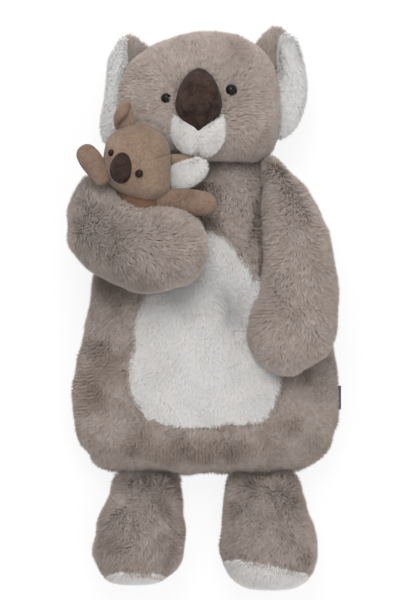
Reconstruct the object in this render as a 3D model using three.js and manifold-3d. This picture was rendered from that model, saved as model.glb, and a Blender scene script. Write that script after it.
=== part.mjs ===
import * as THREE from 'three';
import { mergeVertices } from 'three/addons/utils/BufferGeometryUtils.js';
import Module from 'manifold-3d';

const wasm = await Module();
wasm.setup();

// A plush hot water bottle in the shape of a koala that carries its young one.
// Millimetres. The toy lies on its back: +Z is its front, +Y its head, and the floor is Z = 0.

const gap = 0.3; // left between two pieces that touch
const quarterTurn = Math.PI / 2;
const tiny = 0.001;


// A closed solid of a geometry, with its seams welded.
function solidOf(geometry) {
  const bare = geometry.clone();
  bare.deleteAttribute('normal');
  bare.deleteAttribute('uv');
  const welded = mergeVertices(bare, tiny);
  return new wasm.Manifold(
    new wasm.Mesh({
      numProp: 3,
      vertProperties: welded.attributes.position.array,
      triVerts: new Uint32Array(welded.index.array),
    }),
  );
}

// A closed skin over a row of rings that have the same number of points.
function ringStack(rings) {
  const around = rings[0].length;
  const points = rings.flat().flatMap((point) => [point.x, point.y, point.z]);
  const faces = [];
  for (let ring = 0; ring + 1 < rings.length; ring++) {
    for (let step = 0; step < around; step++) {
      const here = ring * around + step;
      const next = ring * around + ((step + 1) % around);
      faces.push([here, next, here + around], [next, next + around, here + around]);
    }
  }
  [0, rings.length - 1].forEach((ring, end) => {
    const middle = new THREE.Vector3();
    rings[ring].forEach((point) => middle.addScaledVector(point, 1 / around));
    const pole = points.length / 3;
    points.push(middle.x, middle.y, middle.z);
    for (let step = 0; step < around; step++) {
      const here = ring * around + step;
      const next = ring * around + ((step + 1) % around);
      faces.push(end ? [here, next, pole] : [next, here, pole]);
    }
  });
  const corner = (index) => new THREE.Vector3().fromArray(points, 3 * index);
  const volume = faces.reduce(
    (sum, [a, b, c]) => sum + corner(a).dot(corner(b).cross(corner(c))),
    0,
  );
  const facing = volume < 0 ? faces.map(([a, b, c]) => [a, c, b]) : faces;
  const geometry = new THREE.BufferGeometry();
  geometry.setAttribute('position', new THREE.Float32BufferAttribute(points, 3));
  geometry.setIndex(facing.flat());
  return geometry;
}

// The signed power of a sine or cosine, which squares off an oval.
const rounded = (value, power) => Math.sign(value) * Math.abs(value) ** (2 / power);

// A stuffed form: ovals across a row of stations [along, side, other side, back, front].
// Each oval is widest at the seam; its back is pressed flat where the form has a press.
function stuffed(form, grow = 0) {
  const { start, length, middle, width, depth, shares, around = 24 } = form;
  const { seamShare = 0.4, frontPower = 2.2, backPower = 2.6, press = 0, axis = 'y' } = form;
  const { lift = 0 } = form;
  const rings = shares.map(([along, side, other, back, front]) => {
    const main = start + along * length + grow * (2 * along - 1);
    const low = middle + side * width - grow;
    const high = middle + other * width + grow;
    const floor = lift + back * depth - grow;
    const crown = lift + front * depth + grow;
    const seam = floor + seamShare * (crown - floor);
    return Array.from({ length: around }, (_, step) => {
      const angle = (2 * Math.PI * step) / around;
      const turn = Math.sin(angle);
      const power = turn > 0 ? frontPower : backPower;
      const across = (low + high) / 2 + ((high - low) / 2) * rounded(Math.cos(angle), power);
      const rise = turn > 0 ? crown - seam : seam - floor + press;
      const up = Math.max(floor, seam + rise * rounded(turn, power));
      return axis === 'y'
        ? new THREE.Vector3(across, main, up)
        : new THREE.Vector3(main, across, up);
    });
  });
  return solidOf(ringStack(rings));
}

// The height of a stuffed form's front over one point of its plan.
function frontHeight(form, x, y) {
  const { start, length, middle, width, depth, shares, seamShare = 0.4, frontPower = 2.2 } = form;
  const along = (y - start) / length;
  const after = shares.findIndex((station) => station[0] > along);
  const [before, next] = [shares[after - 1], shares[after]];
  const mix = (along - before[0]) / (next[0] - before[0]);
  const [, side, other, back, front] = before.map((value, i) => value + mix * (next[i] - value));
  const half = ((other - side) / 2) * width;
  const across = Math.abs(x - middle - ((other + side) / 2) * width) / half;
  const seam = (back + seamShare * (front - back)) * depth;
  return seam + (front * depth - seam) * (1 - across ** frontPower) ** (1 / frontPower);
}

// A padded shape that swells from an outline: [x, y] shares of its half width and half height.
function pillow(pad, grow = 0) {
  const { outline, width, height, front, back, at, tilt = [0, 0, 0] } = pad;
  const { around = 24, layers = 6, swell = 2.4, scale = 1 } = pad;
  const corners = outline.map(([x, y]) => new THREE.Vector3(x * width, y * height, 0));
  const edge = new THREE.CatmullRomCurve3(corners, true).getSpacedPoints(around).slice(0, around);
  const rings = Array.from({ length: layers - 1 }, (_, layer) => {
    const angle = (Math.PI * (layer + 1)) / layers - quarterTurn;
    const share = rounded(Math.cos(angle), swell);
    const up = rounded(Math.sin(angle), swell) * (angle > 0 ? front + grow : back + grow);
    return edge.map((point) => {
      const reach = share * scale * (1 + grow / point.length());
      return new THREE.Vector3(point.x * reach, point.y * reach, up);
    });
  });
  const geometry = ringStack(rings);
  geometry.applyMatrix4(
    new THREE.Matrix4().compose(
      new THREE.Vector3(...at),
      new THREE.Quaternion().setFromEuler(new THREE.Euler(...tilt)),
      new THREE.Vector3(1, 1, 1),
    ),
  );
  return solidOf(geometry);
}

// A small limb between two points, with a rounded flat section.
function paddle({ from, to, width, depth, shares, around = 16 }, grow = 0) {
  const base = new THREE.Vector3(...from);
  const along = new THREE.Vector3(...to).sub(base);
  const reach = along.length();
  along.normalize();
  const across = new THREE.Vector3(0, 0, 1).cross(along).normalize();
  const up = along.clone().cross(across);
  const rings = shares.map(([share, wide, deep]) =>
    Array.from({ length: around }, (_, step) => {
      const angle = (2 * Math.PI * step) / around;
      return base
        .clone()
        .addScaledVector(along, share * reach + grow * (2 * share - 1))
        .addScaledVector(across, ((wide * width) / 2 + grow) * Math.cos(angle))
        .addScaledVector(up, ((deep * depth) / 2 + grow) * Math.sin(angle));
    }),
  );
  return solidOf(ringStack(rings));
}

// A block between two corners.
function block([x0, y0, z0], [x1, y1, z1]) {
  const geometry = new THREE.BoxGeometry(x1 - x0, y1 - y0, z1 - z0);
  geometry.translate((x0 + x1) / 2, (y0 + y1) / 2, (z0 + z1) / 2);
  return solidOf(geometry);
}

// A turned piece from its profile [radius, height], set with its axis along `axis`.
function turned(profile, at, axis, segments = 24) {
  const geometry = new THREE.LatheGeometry(
    profile.map(([radius, height]) => new THREE.Vector2(radius, height)),
    segments,
  );
  geometry.applyQuaternion(
    new THREE.Quaternion().setFromUnitVectors(new THREE.Vector3(0, 1, 0), axis),
  );
  geometry.translate(...at);
  const made = solidOf(geometry);
  return made.volume() < 0 ? solidOf(flipped(geometry)) : made;
}

// The same geometry with its faces turned the other way.
function flipped(geometry) {
  const turnedOver = geometry.clone();
  const order = Array.from(turnedOver.index.array);
  for (let face = 0; face < order.length; face += 3) {
    [order[face + 1], order[face + 2]] = [order[face + 2], order[face + 1]];
  }
  turnedOver.setIndex(order);
  return turnedOver;
}

// A plate from its outline in the XY plane, between two heights.
function plate(outline, low, high) {
  const shape = new THREE.Shape(outline.map(([x, y]) => new THREE.Vector2(x, y)));
  const geometry = new THREE.ExtrudeGeometry(shape, { depth: high - low, bevelEnabled: false });
  geometry.translate(0, 0, low);
  return solidOf(geometry);
}

const cut = (solid, ...tools) => tools.reduce((rest, tool) => rest.subtract(tool), solid);
const join = (solid, ...others) => others.reduce((whole, other) => whole.add(other), solid);
const plusY = new THREE.Vector3(0, 1, 0);
const plusZ = new THREE.Vector3(0, 0, 1);

const toy = new THREE.Group();
toy.name = 'plush_hot_water_bottle';

// One named mesh of a solid, with its own material.
function piece(name, solid, colour, roughness = 1, metalness = 0) {
  const mesh = solid.getMesh();
  const geometry = new THREE.BufferGeometry();
  geometry.setAttribute('position', new THREE.BufferAttribute(mesh.vertProperties, 3));
  geometry.setIndex(new THREE.BufferAttribute(mesh.triVerts, 1));
  geometry.computeVertexNormals();
  const material = new THREE.MeshStandardMaterial({ color: colour, roughness, metalness });
  const made = new THREE.Mesh(geometry, material);
  made.name = name;
  toy.add(made);
}

const taupe = 0xa3978d;
const white = 0xd8d8d8;
const suede = 0x4b3c38;
const tan = 0x9e8976;
const cloth = 0x8d8780;
const black = 0x151312;
const rubber = 0x7d3b44;
const brass = 0xb59a5a;
const nylon = 0x6e6761;

// Torso: the cover, padded round a pocket for the bottle
const torsoWidth = 134; // half of the widest place, as are all side widths below
const torsoLength = 319;
const torsoDepth = 89;
const torsoStart = -166;
const torsoShares = [
  [0, -0.597, 0.597, 0.191, 0.247],
  [0.009, -0.724, 0.724, 0.09, 0.33],
  [0.034, -0.858, 0.828, 0, 0.539],
  [0.066, -0.896, 0.881, 0, 0.674],
  [0.103, -0.955, 0.94, 0, 0.775],
  [0.166, -0.985, 0.978, 0, 0.876],
  [0.254, -1, 1, 0, 0.944],
  [0.342, -0.97, 0.985, 0, 0.989],
  [0.442, -0.918, 0.948, 0, 1],
  [0.542, -0.873, 0.873, 0, 0.989],
  [0.643, -0.843, 0.791, 0, 0.966],
  [0.743, -0.843, 0.724, 0, 0.921],
  [0.843, -0.813, 0.649, 0, 0.865],
  [0.912, -0.761, 0.56, 0, 0.798],
  [0.962, -0.642, 0.448, 0.022, 0.719],
  [0.991, -0.493, 0.343, 0.112, 0.562],
  [1, -0.373, 0.224, 0.225, 0.449],
];
const torsoForm = {
  start: torsoStart,
  length: torsoLength,
  middle: 0,
  width: torsoWidth,
  depth: torsoDepth,
  shares: torsoShares,
  around: 32,
  seamShare: 0.36,
  backPower: 3,
  press: 3,
};
const seamHeight = 32;

// Bottle: a moulded rubber shell with a neck
const bottleMiddle = -4;
const bottleStart = -149;
const bottleLength = 237;
const bottleWidth = 77.5;
const bottleDepth = 40;
const bottleWall = 3;
const bottleShares = [
  [0, -0.72, 0.72, 0.38, 0.62],
  [0.012, -0.86, 0.86, 0.2, 0.8],
  [0.04, -0.95, 0.95, 0.08, 0.92],
  [0.1, -1, 1, 0, 1],
  [0.7, -1, 1, 0, 1],
  [0.78, -0.97, 0.97, 0.02, 0.98],
  [0.85, -0.84, 0.84, 0.06, 0.94],
  [0.91, -0.58, 0.58, 0.1, 0.9],
  [0.95, -0.34, 0.34, 0.1, 0.9],
  [1, -0.21, 0.21, 0.1, 0.9],
];
const padHeight = 10; // the padded back under the bottle
const bottleForm = {
  start: bottleStart,
  length: bottleLength,
  middle: bottleMiddle,
  width: bottleWidth,
  depth: bottleDepth,
  lift: padHeight + gap,
  shares: bottleShares,
  around: 20,
  seamShare: 0.5,
  frontPower: 3.4,
  backPower: 3.4,
};
const neckRadius = 17;
const neckTop = 106;
const neckFoot = 70;
const boreRadius = 12.5;
const neckHeight = padHeight + gap + bottleDepth / 2;
const flangeReach = 4;
const flangeHalf = 1.2;
const flangeShares = bottleShares.map(([along, side, other]) => [along, side, other, 0, 1]);
const ribCount = 3;
const ribPitch = 26;
const ribWidth = 3;
const ribRise = 1;
const ribSink = 1;
const ribLow = -120;
const ribHigh = 20;
const neckAt = [bottleMiddle, 0, neckHeight];

const flange = stuffed({
  ...bottleForm,
  width: bottleWidth + flangeReach,
  start: bottleStart - flangeReach,
  length: bottleLength - neckRadius,
  depth: 2 * flangeHalf,
  lift: neckHeight - flangeHalf,
  shares: flangeShares,
});
const ribs = Array.from({ length: ribCount }, (_, index) => {
  const middle = bottleMiddle + (index - (ribCount - 1) / 2) * ribPitch;
  const top = padHeight + gap + bottleDepth;
  return block(
    [middle - ribWidth / 2, ribLow, top - ribSink],
    [middle + ribWidth / 2, ribHigh, top + ribRise],
  );
});
const neckTube = turned(
  [[0, neckFoot], [neckRadius, neckFoot], [neckRadius, neckTop], [0, neckTop]],
  neckAt,
  plusY,
);
const neckBore = turned(
  [[0, neckFoot], [boreRadius, neckFoot], [boreRadius, neckTop + gap], [0, neckTop + gap]],
  neckAt,
  plusY,
);
const bottleShell = cut(
  join(stuffed(bottleForm), flange, ...ribs, neckTube),
  stuffed(bottleForm, -bottleWall),
  neckBore,
);
piece('bottle_shell', bottleShell, rubber, 0.6);

// Neck insert and stopper: a threaded brass insert, and a stopper that screws out of it
const threadPitch = 4;
const threadTurns = 3.5;
const threadRise = 1.5;
const threadFoot = 1.1; // half of the ridge at its foot
const threadCrest = 0.5;
const threadSteps = 12;
const stemRadius = 8;
const stemSink = 0.4;
const stemLow = 86;
const insertRadius = boreRadius - gap;
const insertLow = 84;
const insertTop = neckTop;
const lipRadius = 16;
const lipThick = 2.3;
const lipTop = neckTop + lipThick;
const clearance = 0.35;
const washerRadius = 15;
const washerHole = stemRadius + gap;
const washerLow = lipTop + gap;
const washerThick = 1.8;
const washerTop = washerLow + washerThick;
const capRadius = 16;
const capLow = washerTop + gap;
const capThick = 4;
const capTop = capLow + capThick;
const wingHalf = 13;
const wingThick = 3;
const wingRise = 6;
const wingTop = capTop + wingRise;
const wingSink = 1;
const wingShare = 0.6;
const boreOver = 1; // the bore's cut runs past both ends of the insert
const extraTurns = 2;

// A screw ridge round the neck's axis.
function ridge(low, turns, grow) {
  const count = Math.round(turns * threadSteps) + 1;
  const rings = Array.from({ length: count }, (_, step) => {
    const angle = (2 * Math.PI * step) / threadSteps;
    const middle = low + (threadPitch * step) / threadSteps;
    const spot = (radius, height) =>
      new THREE.Vector3(
        neckAt[0] + radius * Math.cos(angle),
        height,
        neckAt[2] - radius * Math.sin(angle),
      );
    const inner = stemRadius - stemSink;
    const outer = stemRadius + threadRise + grow;
    return [
      spot(inner, middle - threadFoot - grow),
      spot(outer, middle - threadCrest - grow),
      spot(outer, middle + threadCrest + grow),
      spot(inner, middle + threadFoot + grow),
    ];
  });
  return solidOf(ringStack(rings));
}

const insertTurns = (lipTop - insertLow) / threadPitch + extraTurns;
const neckInsert = cut(
  turned(
    [
      [0, insertLow],
      [insertRadius, insertLow],
      [insertRadius, insertTop + gap],
      [lipRadius, insertTop + gap],
      [lipRadius, lipTop],
      [0, lipTop],
    ],
    neckAt,
    plusY,
  ),
  turned(
    [
      [0, insertLow - boreOver],
      [stemRadius + clearance, insertLow - boreOver],
      [stemRadius + clearance, lipTop + boreOver],
      [0, lipTop + boreOver],
    ],
    neckAt,
    plusY,
  ),
  ridge(stemLow + threadFoot - threadPitch, insertTurns, clearance),
);
piece('neck_insert', neckInsert, brass, 0.35, 0.9);

const wing = block(
  [neckAt[0] - wingHalf * wingShare, capTop - wingSink, neckAt[2] - wingThick / 2],
  [neckAt[0] + wingHalf * wingShare, wingTop, neckAt[2] + wingThick / 2],
);
const stemHigh = capLow + stemSink;
const stopper = join(
  turned(
    [[0, stemLow], [stemRadius, stemLow], [stemRadius, stemHigh], [0, stemHigh]],
    neckAt,
    plusY,
  ),
  ridge(stemLow + threadFoot, threadTurns, 0),
  turned([[0, capLow], [capRadius, capLow], [capRadius, capTop], [0, capTop]], neckAt, plusY),
  wing,
);
piece('stopper', stopper, 0x2c2a2b, 0.5);
const washer = turned(
  [
    [washerHole, washerLow],
    [washerRadius, washerLow],
    [washerRadius, washerTop],
    [washerHole, washerTop],
    [washerHole, washerLow],
  ],
  neckAt,
  plusY,
);
piece('stopper_washer', washer, 0x3a3536, 0.7);

// Pocket in the torso, a little larger than the bottle and open above the stopper
const pocketSlack = 6;
const stopperLift = 12;
const pocketStart = bottleStart - pocketSlack;
const pocketForm = {
  start: pocketStart,
  length: wingTop + stopperLift + pocketSlack / 2 - pocketStart,
  middle: bottleMiddle,
  width: bottleWidth + pocketSlack,
  depth: bottleDepth + pocketSlack,
  lift: padHeight,
  shares: [
    [0, -0.8, 0.8, 0.24, 0.76],
    [0.02, -0.92, 0.92, 0.05, 0.92],
    [0.07, -1, 1, 0, 1],
    [0.68, -1, 1, 0, 1],
    [0.8, -0.9, 0.9, 0, 1],
    [0.88, -0.6, 0.6, 0, 1],
    [0.97, -0.5, 0.5, 0, 1],
    [1, -0.4, 0.4, 0.1, 0.9],
  ],
  seamShare: 0.5,
  frontPower: 6,
  backPower: 6,
};
const pocket = stuffed(pocketForm);

// Zip: two tapes with moulded teeth, in a slot down the middle of the back
const zipMiddle = bottleMiddle;
const zipLow = -118;
const zipHigh = 112;
const slotHalf = 6;
const slotEnd = 5;
const tapeWidth = 12;
const tapeLow = 5.5;
const tapeHigh = 6.1;
const toothPitch = 5;
const tapeInset = 1.6; // from the middle to the tape's edge
const toothReach = 1; // past the middle
const toothRoot = 2.6;
const toothWidth = 1.9;
const toothLow = 4.6;
const toothHigh = 7;
const toothStart = 6; // from the tape's end to the first tooth
const toothFirst = zipLow + toothStart;
const toothCount = 42;
const panelEdge = tapeLow - gap;
const tapeRoom = 1.8;
const recessHalf = tapeWidth + tapeRoom;
const below = -1;

const zipSlot = block(
  [zipMiddle - slotHalf, zipLow - slotEnd, below],
  [zipMiddle + slotHalf, zipHigh + slotEnd, padHeight + gap],
);
const tapeRecess = block(
  [zipMiddle - recessHalf, zipLow - slotEnd, panelEdge],
  [zipMiddle + recessHalf, zipHigh + slotEnd, padHeight + gap],
);

function zipSide(side) {
  const tapeInner = zipMiddle + side * tapeInset;
  const tapeOuter = zipMiddle + side * tapeWidth;
  const tape = block(
    [Math.min(tapeInner, tapeOuter), zipLow, tapeLow],
    [Math.max(tapeInner, tapeOuter), zipHigh, tapeHigh],
  );
  const teeth = Array.from({ length: toothCount }, (_, index) => {
    const at = toothFirst + index * toothPitch + (side > 0 ? toothPitch / 2 : 0);
    const near = zipMiddle - side * toothReach;
    const far = zipMiddle + side * toothRoot;
    return block(
      [Math.min(near, far), at - toothWidth / 2, toothLow],
      [Math.max(near, far), at + toothWidth / 2, toothHigh],
    );
  });
  return join(tape, ...teeth);
}
piece('zip_tape_left', zipSide(1), nylon, 0.7);
piece('zip_tape_right', zipSide(-1), nylon, 0.7);

// Zip stop: one piece clipped over both tapes at the bottom
const stopHalf = 2.6;
const stopLength = 3;
const stopHigh = zipLow - gap;
const stopLow = stopHigh - stopLength;
piece(
  'zip_stop',
  block(
    [zipMiddle - stopHalf, stopLow, toothLow],
    [zipMiddle + stopHalf, stopHigh, toothHigh],
  ),
  brass,
  0.35,
  0.9,
);

// Zip slider: two plates joined by a post, with a flange down each side and a bail below
const sliderHalf = 4.6;
const sliderLow = 98;
const sliderHigh = 109;
const plateThick = 1.2;
const plateGap = 0.4;
const outerPlate = toothLow - plateGap - plateThick;
const innerPlate = toothHigh + plateGap;
const flangeThick = 1;
const flangeGap = 0.35;
const postHalf = 1;
const postLength = 2.2;
const postLow = sliderHigh - postLength;
const noseShare = 0.6;
const mouthTaper = 3;
const tailTaper = 2;
const flangeLow = sliderLow + mouthTaper;
const flangeHigh = sliderHigh - tailTaper;
const sliderOutline = [
  [zipMiddle - sliderHalf * noseShare, sliderLow],
  [zipMiddle + sliderHalf * noseShare, sliderLow],
  [zipMiddle + sliderHalf, flangeLow],
  [zipMiddle + sliderHalf, flangeHigh],
  [zipMiddle + sliderHalf * noseShare, sliderHigh],
  [zipMiddle - sliderHalf * noseShare, sliderHigh],
  [zipMiddle - sliderHalf, flangeHigh],
  [zipMiddle - sliderHalf, flangeLow],
];
const flanges = [1, -1].flatMap((side) => {
  const outer = zipMiddle + side * sliderHalf;
  const inner = outer - side * flangeThick;
  const low = Math.min(outer, inner);
  const high = Math.max(outer, inner);
  return [
    block([low, flangeLow, outerPlate], [high, flangeHigh, tapeLow - flangeGap]),
    block([low, flangeLow, tapeHigh + flangeGap], [high, flangeHigh, innerPlate + plateThick]),
  ];
});
const bailHalf = 1;
const bailLow = 0.35;
const bailThick = 0.85;
const bailInset = 1.5;
const bailLength = 7.5;
const bailSink = 0.3;
const bailFoot = outerPlate + bailSink;
const bailStart = sliderLow + bailInset;
const bailEnd = bailStart + bailLength;
const bail = join(
  block(
    [zipMiddle - bailHalf, bailStart, bailLow],
    [zipMiddle + bailHalf, bailEnd, bailLow + bailThick],
  ),
  block(
    [zipMiddle - bailHalf, bailStart, bailLow],
    [zipMiddle + bailHalf, bailStart + bailThick, bailFoot],
  ),
  block(
    [zipMiddle - bailHalf, bailEnd - bailThick, bailLow],
    [zipMiddle + bailHalf, bailEnd, bailFoot],
  ),
);
const slider = join(
  plate(sliderOutline, outerPlate, outerPlate + plateThick),
  plate(sliderOutline, innerPlate, innerPlate + plateThick),
  ...flanges,
  block(
    [zipMiddle - postHalf, postLow, outerPlate],
    [zipMiddle + postHalf, sliderHigh, innerPlate + plateThick],
  ),
  bail,
);
piece('zip_slider', slider, brass, 0.35, 0.9);

// Pull tab: a flat tab whose end bar hangs in the slider's bail
const tabHalf = 2.8;
const tabLow = 1.45;
const tabHigh = 2.5;
const barInset = 2.4;
const barMiddle = bailStart + barInset;
const barHalf = 0.5;
const tabHoleHalf = 1.6;
const tabHoleLength = 3.8;
const tabLength = 24;
const tab = cut(
  block(
    [zipMiddle - tabHalf, barMiddle - tabLength, tabLow],
    [zipMiddle + tabHalf, barMiddle + barHalf, tabHigh],
  ),
  block(
    [zipMiddle - tabHoleHalf, barMiddle - barHalf - tabHoleLength, below],
    [zipMiddle + tabHoleHalf, barMiddle - barHalf, padHeight],
  ),
);
piece('zip_pull', tab, brass, 0.35, 0.9);

// Side label: a bare woven loop caught in the side seam
const labelInner = 127.4;
const labelOuter = 137.5;
const labelLow = -104;
const labelHigh = -80;
const labelPly = 0.6;
const labelHeight = 32;
const labelMargin = 0.4;
const foldOver = 1; // the fold's gap is open at three sides
const labelSlot = block(
  [labelInner - labelMargin, labelLow - labelMargin, labelHeight - labelPly - 2 * labelMargin],
  [labelOuter, labelHigh + labelMargin, labelHeight + labelPly + 2 * labelMargin],
);
const label = cut(
  block(
    [labelInner, labelLow, labelHeight - labelPly - gap / 2],
    [labelOuter, labelHigh, labelHeight + labelPly + gap / 2],
  ),
  block(
    [labelInner - foldOver, labelLow - foldOver, labelHeight - gap / 2],
    [labelOuter - labelPly, labelHigh + foldOver, labelHeight + gap / 2],
  ),
);
piece('side_label', label, cloth, 0.8);

// Cover panels: the stuffed front, and two back panels with the zip between them
const torso = stuffed(torsoForm);
const torsoClear = stuffed(torsoForm, gap);
const torsoFront = cut(
  torso.trimByPlane([0, 0, 1], seamHeight + gap / 2),
  pocket,
  labelSlot,
);
const torsoBack = cut(
  torso.trimByPlane([0, 0, -1], -(seamHeight - gap / 2)),
  pocket,
  zipSlot,
  tapeRecess,
  labelSlot,
);
piece('torso_front', torsoFront, taupe);
piece('back_panel_left', torsoBack.trimByPlane([1, 0, 0], zipMiddle + gap / 2), taupe);
piece('back_panel_right', torsoBack.trimByPlane([-1, 0, 0], -(zipMiddle - gap / 2)), taupe);

// Belly patch: an oval of white plush sewn on the front
const patchHalfWidth = 76;
const patchHalfHeight = 100;
const patchAlong = -21;
const patchMiddle = [0, patchAlong];
const patchThick = 2.5;
const patchOutlineShares = [
  [0.04, 1],
  [0.3, 0.9],
  [0.51, 0.7],
  [0.68, 0.5],
  [0.82, 0.25],
  [0.92, -0.05],
  [0.98, -0.42],
  [0.94, -0.75],
  [0.8, -0.9],
  [0.5, -0.98],
  [0.1, -1],
  [-0.5, -0.99],
  [-0.82, -0.9],
  [-0.95, -0.72],
  [-1, -0.46],
  [-0.95, -0.15],
  [-0.86, 0.15],
  [-0.72, 0.5],
  [-0.45, 0.82],
  [-0.2, 0.96],
];
const patchPoints = 40;
const patchBase = 40;
const patchTop = 120;
function patchPlan(grow) {
  const corners = patchOutlineShares.map(
    ([x, y]) =>
      new THREE.Vector3(
        patchMiddle[0] + x * (patchHalfWidth + grow),
        patchMiddle[1] + y * (patchHalfHeight + grow),
        0,
      ),
  );
  const edge = new THREE.CatmullRomCurve3(corners, true).getSpacedPoints(patchPoints);
  return plate(edge.slice(0, patchPoints).map((point) => [point.x, point.y]), patchBase, patchTop);
}
const patch = stuffed(torsoForm, gap + patchThick).intersect(patchPlan(0)).subtract(torsoClear);
const patchClear = stuffed(torsoForm, 2 * gap + patchThick).intersect(patchPlan(gap));
piece('belly_patch', patch, white);

// Head: a stuffed form cut by the torso at the neck seam
const headShares = [
  [0, -0.381, 0.48, 0.241, 0.463],
  [0.015, -0.643, 0.7, 0.13, 0.611],
  [0.054, -0.81, 0.845, 0.056, 0.778],
  [0.115, -0.905, 0.91, 0, 0.889],
  [0.2, -0.964, 0.952, 0, 0.963],
  [0.3, -0.988, 0.988, 0, 1],
  [0.408, -1, 1, 0, 1],
  [0.515, -0.988, 1, 0, 0.981],
  [0.623, -0.952, 0.964, 0, 0.944],
  [0.731, -0.857, 0.905, 0.019, 0.88],
  [0.823, -0.714, 0.81, 0.074, 0.787],
  [0.9, -0.512, 0.667, 0.148, 0.685],
  [0.962, -0.238, 0.488, 0.241, 0.574],
  [1, -0.036, 0.31, 0.333, 0.481],
];
const headForm = {
  start: 146,
  length: 130,
  middle: -6,
  width: 84,
  depth: 108,
  shares: headShares,
  around: 24,
  seamShare: 0.4,
  frontPower: 2.2,
  backPower: 2.6,
  press: 3,
};
const headClear = stuffed(headForm, gap);

// Eyes: black domes, each with a shank through the cloth and a washer inside
const eyeRadius = 6.2;
const shankRadius = 1.7;
const shankReach = 14;
const leftEyeAcross = 25.6;
const leftEyeAlong = 214.2;
const rightEyeAcross = -38.3;
const rightEyeAlong = 206.2;
const eyeHoleTop = 20;
const eyeHoleFoot = 1;
const shankTop = 4;
const eyePlan = {
  left: [leftEyeAcross, leftEyeAlong],
  right: [rightEyeAcross, rightEyeAlong],
};
const eyeSpots = Object.fromEntries(
  Object.entries(eyePlan).map(([side, [x, y]]) => [side, [x, y, frontHeight(headForm, x, y)]]),
);
const washerDepth = 7;
const eyeSides = 12;
const eyeWasherRadius = 7;
const eyeWasherThick = 1.6;
const eyeHoles = Object.values(eyeSpots).flatMap((spot) => [
  turned(
    [
      [0, -shankReach - eyeHoleFoot],
      [shankRadius + gap, -shankReach - eyeHoleFoot],
      [shankRadius + gap, eyeHoleTop],
      [0, eyeHoleTop],
    ],
    spot,
    plusZ,
    eyeSides,
  ),
  turned(
    [
      [0, -washerDepth - eyeWasherThick - gap],
      [eyeWasherRadius + gap, -washerDepth - eyeWasherThick - gap],
      [eyeWasherRadius + gap, -washerDepth + gap],
      [0, -washerDepth + gap],
    ],
    spot,
    plusZ,
    eyeSides,
  ),
]);
piece('head', cut(stuffed(headForm), torsoClear, ...eyeHoles), taupe);
const domeSteps = 5;
const domeProfile = Array.from({ length: 2 * domeSteps + 1 }, (_, step) => {
  const angle = (Math.PI * step) / (2 * domeSteps) - quarterTurn;
  const pole = step % (2 * domeSteps) === 0;
  return [pole ? 0 : eyeRadius * Math.cos(angle), eyeRadius * Math.sin(angle)];
});
Object.entries(eyeSpots).forEach(([side, spot]) => {
  const dome = cut(turned(domeProfile, spot, plusZ, eyeSides), headClear);
  const shank = turned(
    [[0, -shankReach], [shankRadius, -shankReach], [shankRadius, shankTop], [0, shankTop]],
    spot,
    plusZ,
    eyeSides,
  );
  piece(`eye_${side}`, join(dome, shank), black, 0.1);
  const ring = turned(
    [
      [shankRadius + gap, -washerDepth - eyeWasherThick],
      [eyeWasherRadius, -washerDepth - eyeWasherThick],
      [eyeWasherRadius, -washerDepth],
      [shankRadius + gap, -washerDepth],
      [shankRadius + gap, -washerDepth - eyeWasherThick],
    ],
    spot,
    plusZ,
    eyeSides,
  );
  piece(`eye_washer_${side}`, ring, white, 0.5);
});

// Nose: a padded suede egg on the front of the head
const noseAcross = -6.3;
const noseAlong = 204.6;
const noseSink = 6.5;
const noseForm = {
  outline: [
    [0.03, 1],
    [-0.37, 0.81],
    [-0.71, 0.5],
    [-0.93, 0.16],
    [-1, -0.19],
    [-0.87, -0.5],
    [-0.56, -0.75],
    [-0.19, -0.93],
    [0, -1],
    [0.19, -0.93],
    [0.56, -0.73],
    [0.87, -0.5],
    [0.98, -0.19],
    [0.93, 0.13],
    [0.71, 0.5],
    [0.37, 0.83],
  ],
  width: 23.4,
  height: 31.7,
  front: 20,
  back: 8,
  at: [noseAcross, noseAlong, frontHeight(headForm, noseAcross, noseAlong) - noseSink],
};
piece('nose', cut(pillow(noseForm), headClear), suede, 0.85);

// Muzzle: two white lobes below the nose
const muzzleAcross = -7;
const muzzleAlong = 173;
const muzzleSink = 7.8;
const muzzleForm = {
  outline: [
    [0.02, 0.37],
    [-0.36, 0.63],
    [-0.92, 0.95],
    [-1, 0.37],
    [-0.96, -0.09],
    [-0.76, -0.56],
    [-0.44, -0.88],
    [-0.16, -0.95],
    [0.04, -0.81],
    [0.28, -1],
    [0.6, -0.84],
    [0.84, -0.47],
    [0.98, 0.09],
    [1, 0.65],
    [0.96, 1],
    [0.52, 0.7],
  ],
  width: 25,
  height: 21.5,
  front: 17,
  back: 6,
  at: [
    muzzleAcross,
    muzzleAlong,
    frontHeight(headForm, muzzleAcross, muzzleAlong) - muzzleSink,
  ],
};
piece('muzzle', cut(pillow(muzzleForm), headClear, pillow(noseForm, gap)), white);

// Ears: a padded back in the body's cloth with a white lining on its front
const earBack = 12;
const earFront = 10;
const liningFront = 12;
const liningBack = 6;
const earLevel = 32;
const liningLevel = 45;
const leftEarAcross = 72.5;
const leftEarAlong = 229.15;
const leftLiningAcross = 83;
const leftLiningAlong = 222.5;
const rightEarAcross = -74;
const rightEarAlong = 223;
const rightLiningAlong = 219;
const rightLiningAcross = -88.8;
const leftEarForm = {
  outline: [
    [-1, 0.32],
    [-0.84, -0.05],
    [-0.67, -0.62],
    [-0.31, -1],
    [0.18, -0.96],
    [0.63, -0.77],
    [0.92, -0.44],
    [1, -0.08],
    [0.84, 0.39],
    [0.55, 0.75],
    [0.31, 0.91],
    [0.02, 1],
    [-0.27, 0.95],
    [-0.59, 0.82],
    [-0.96, 0.6],
  ],
  width: 24.5,
  height: 55.5,
  front: earFront,
  back: earBack,
  at: [leftEarAcross, leftEarAlong, earLevel],
};
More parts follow.
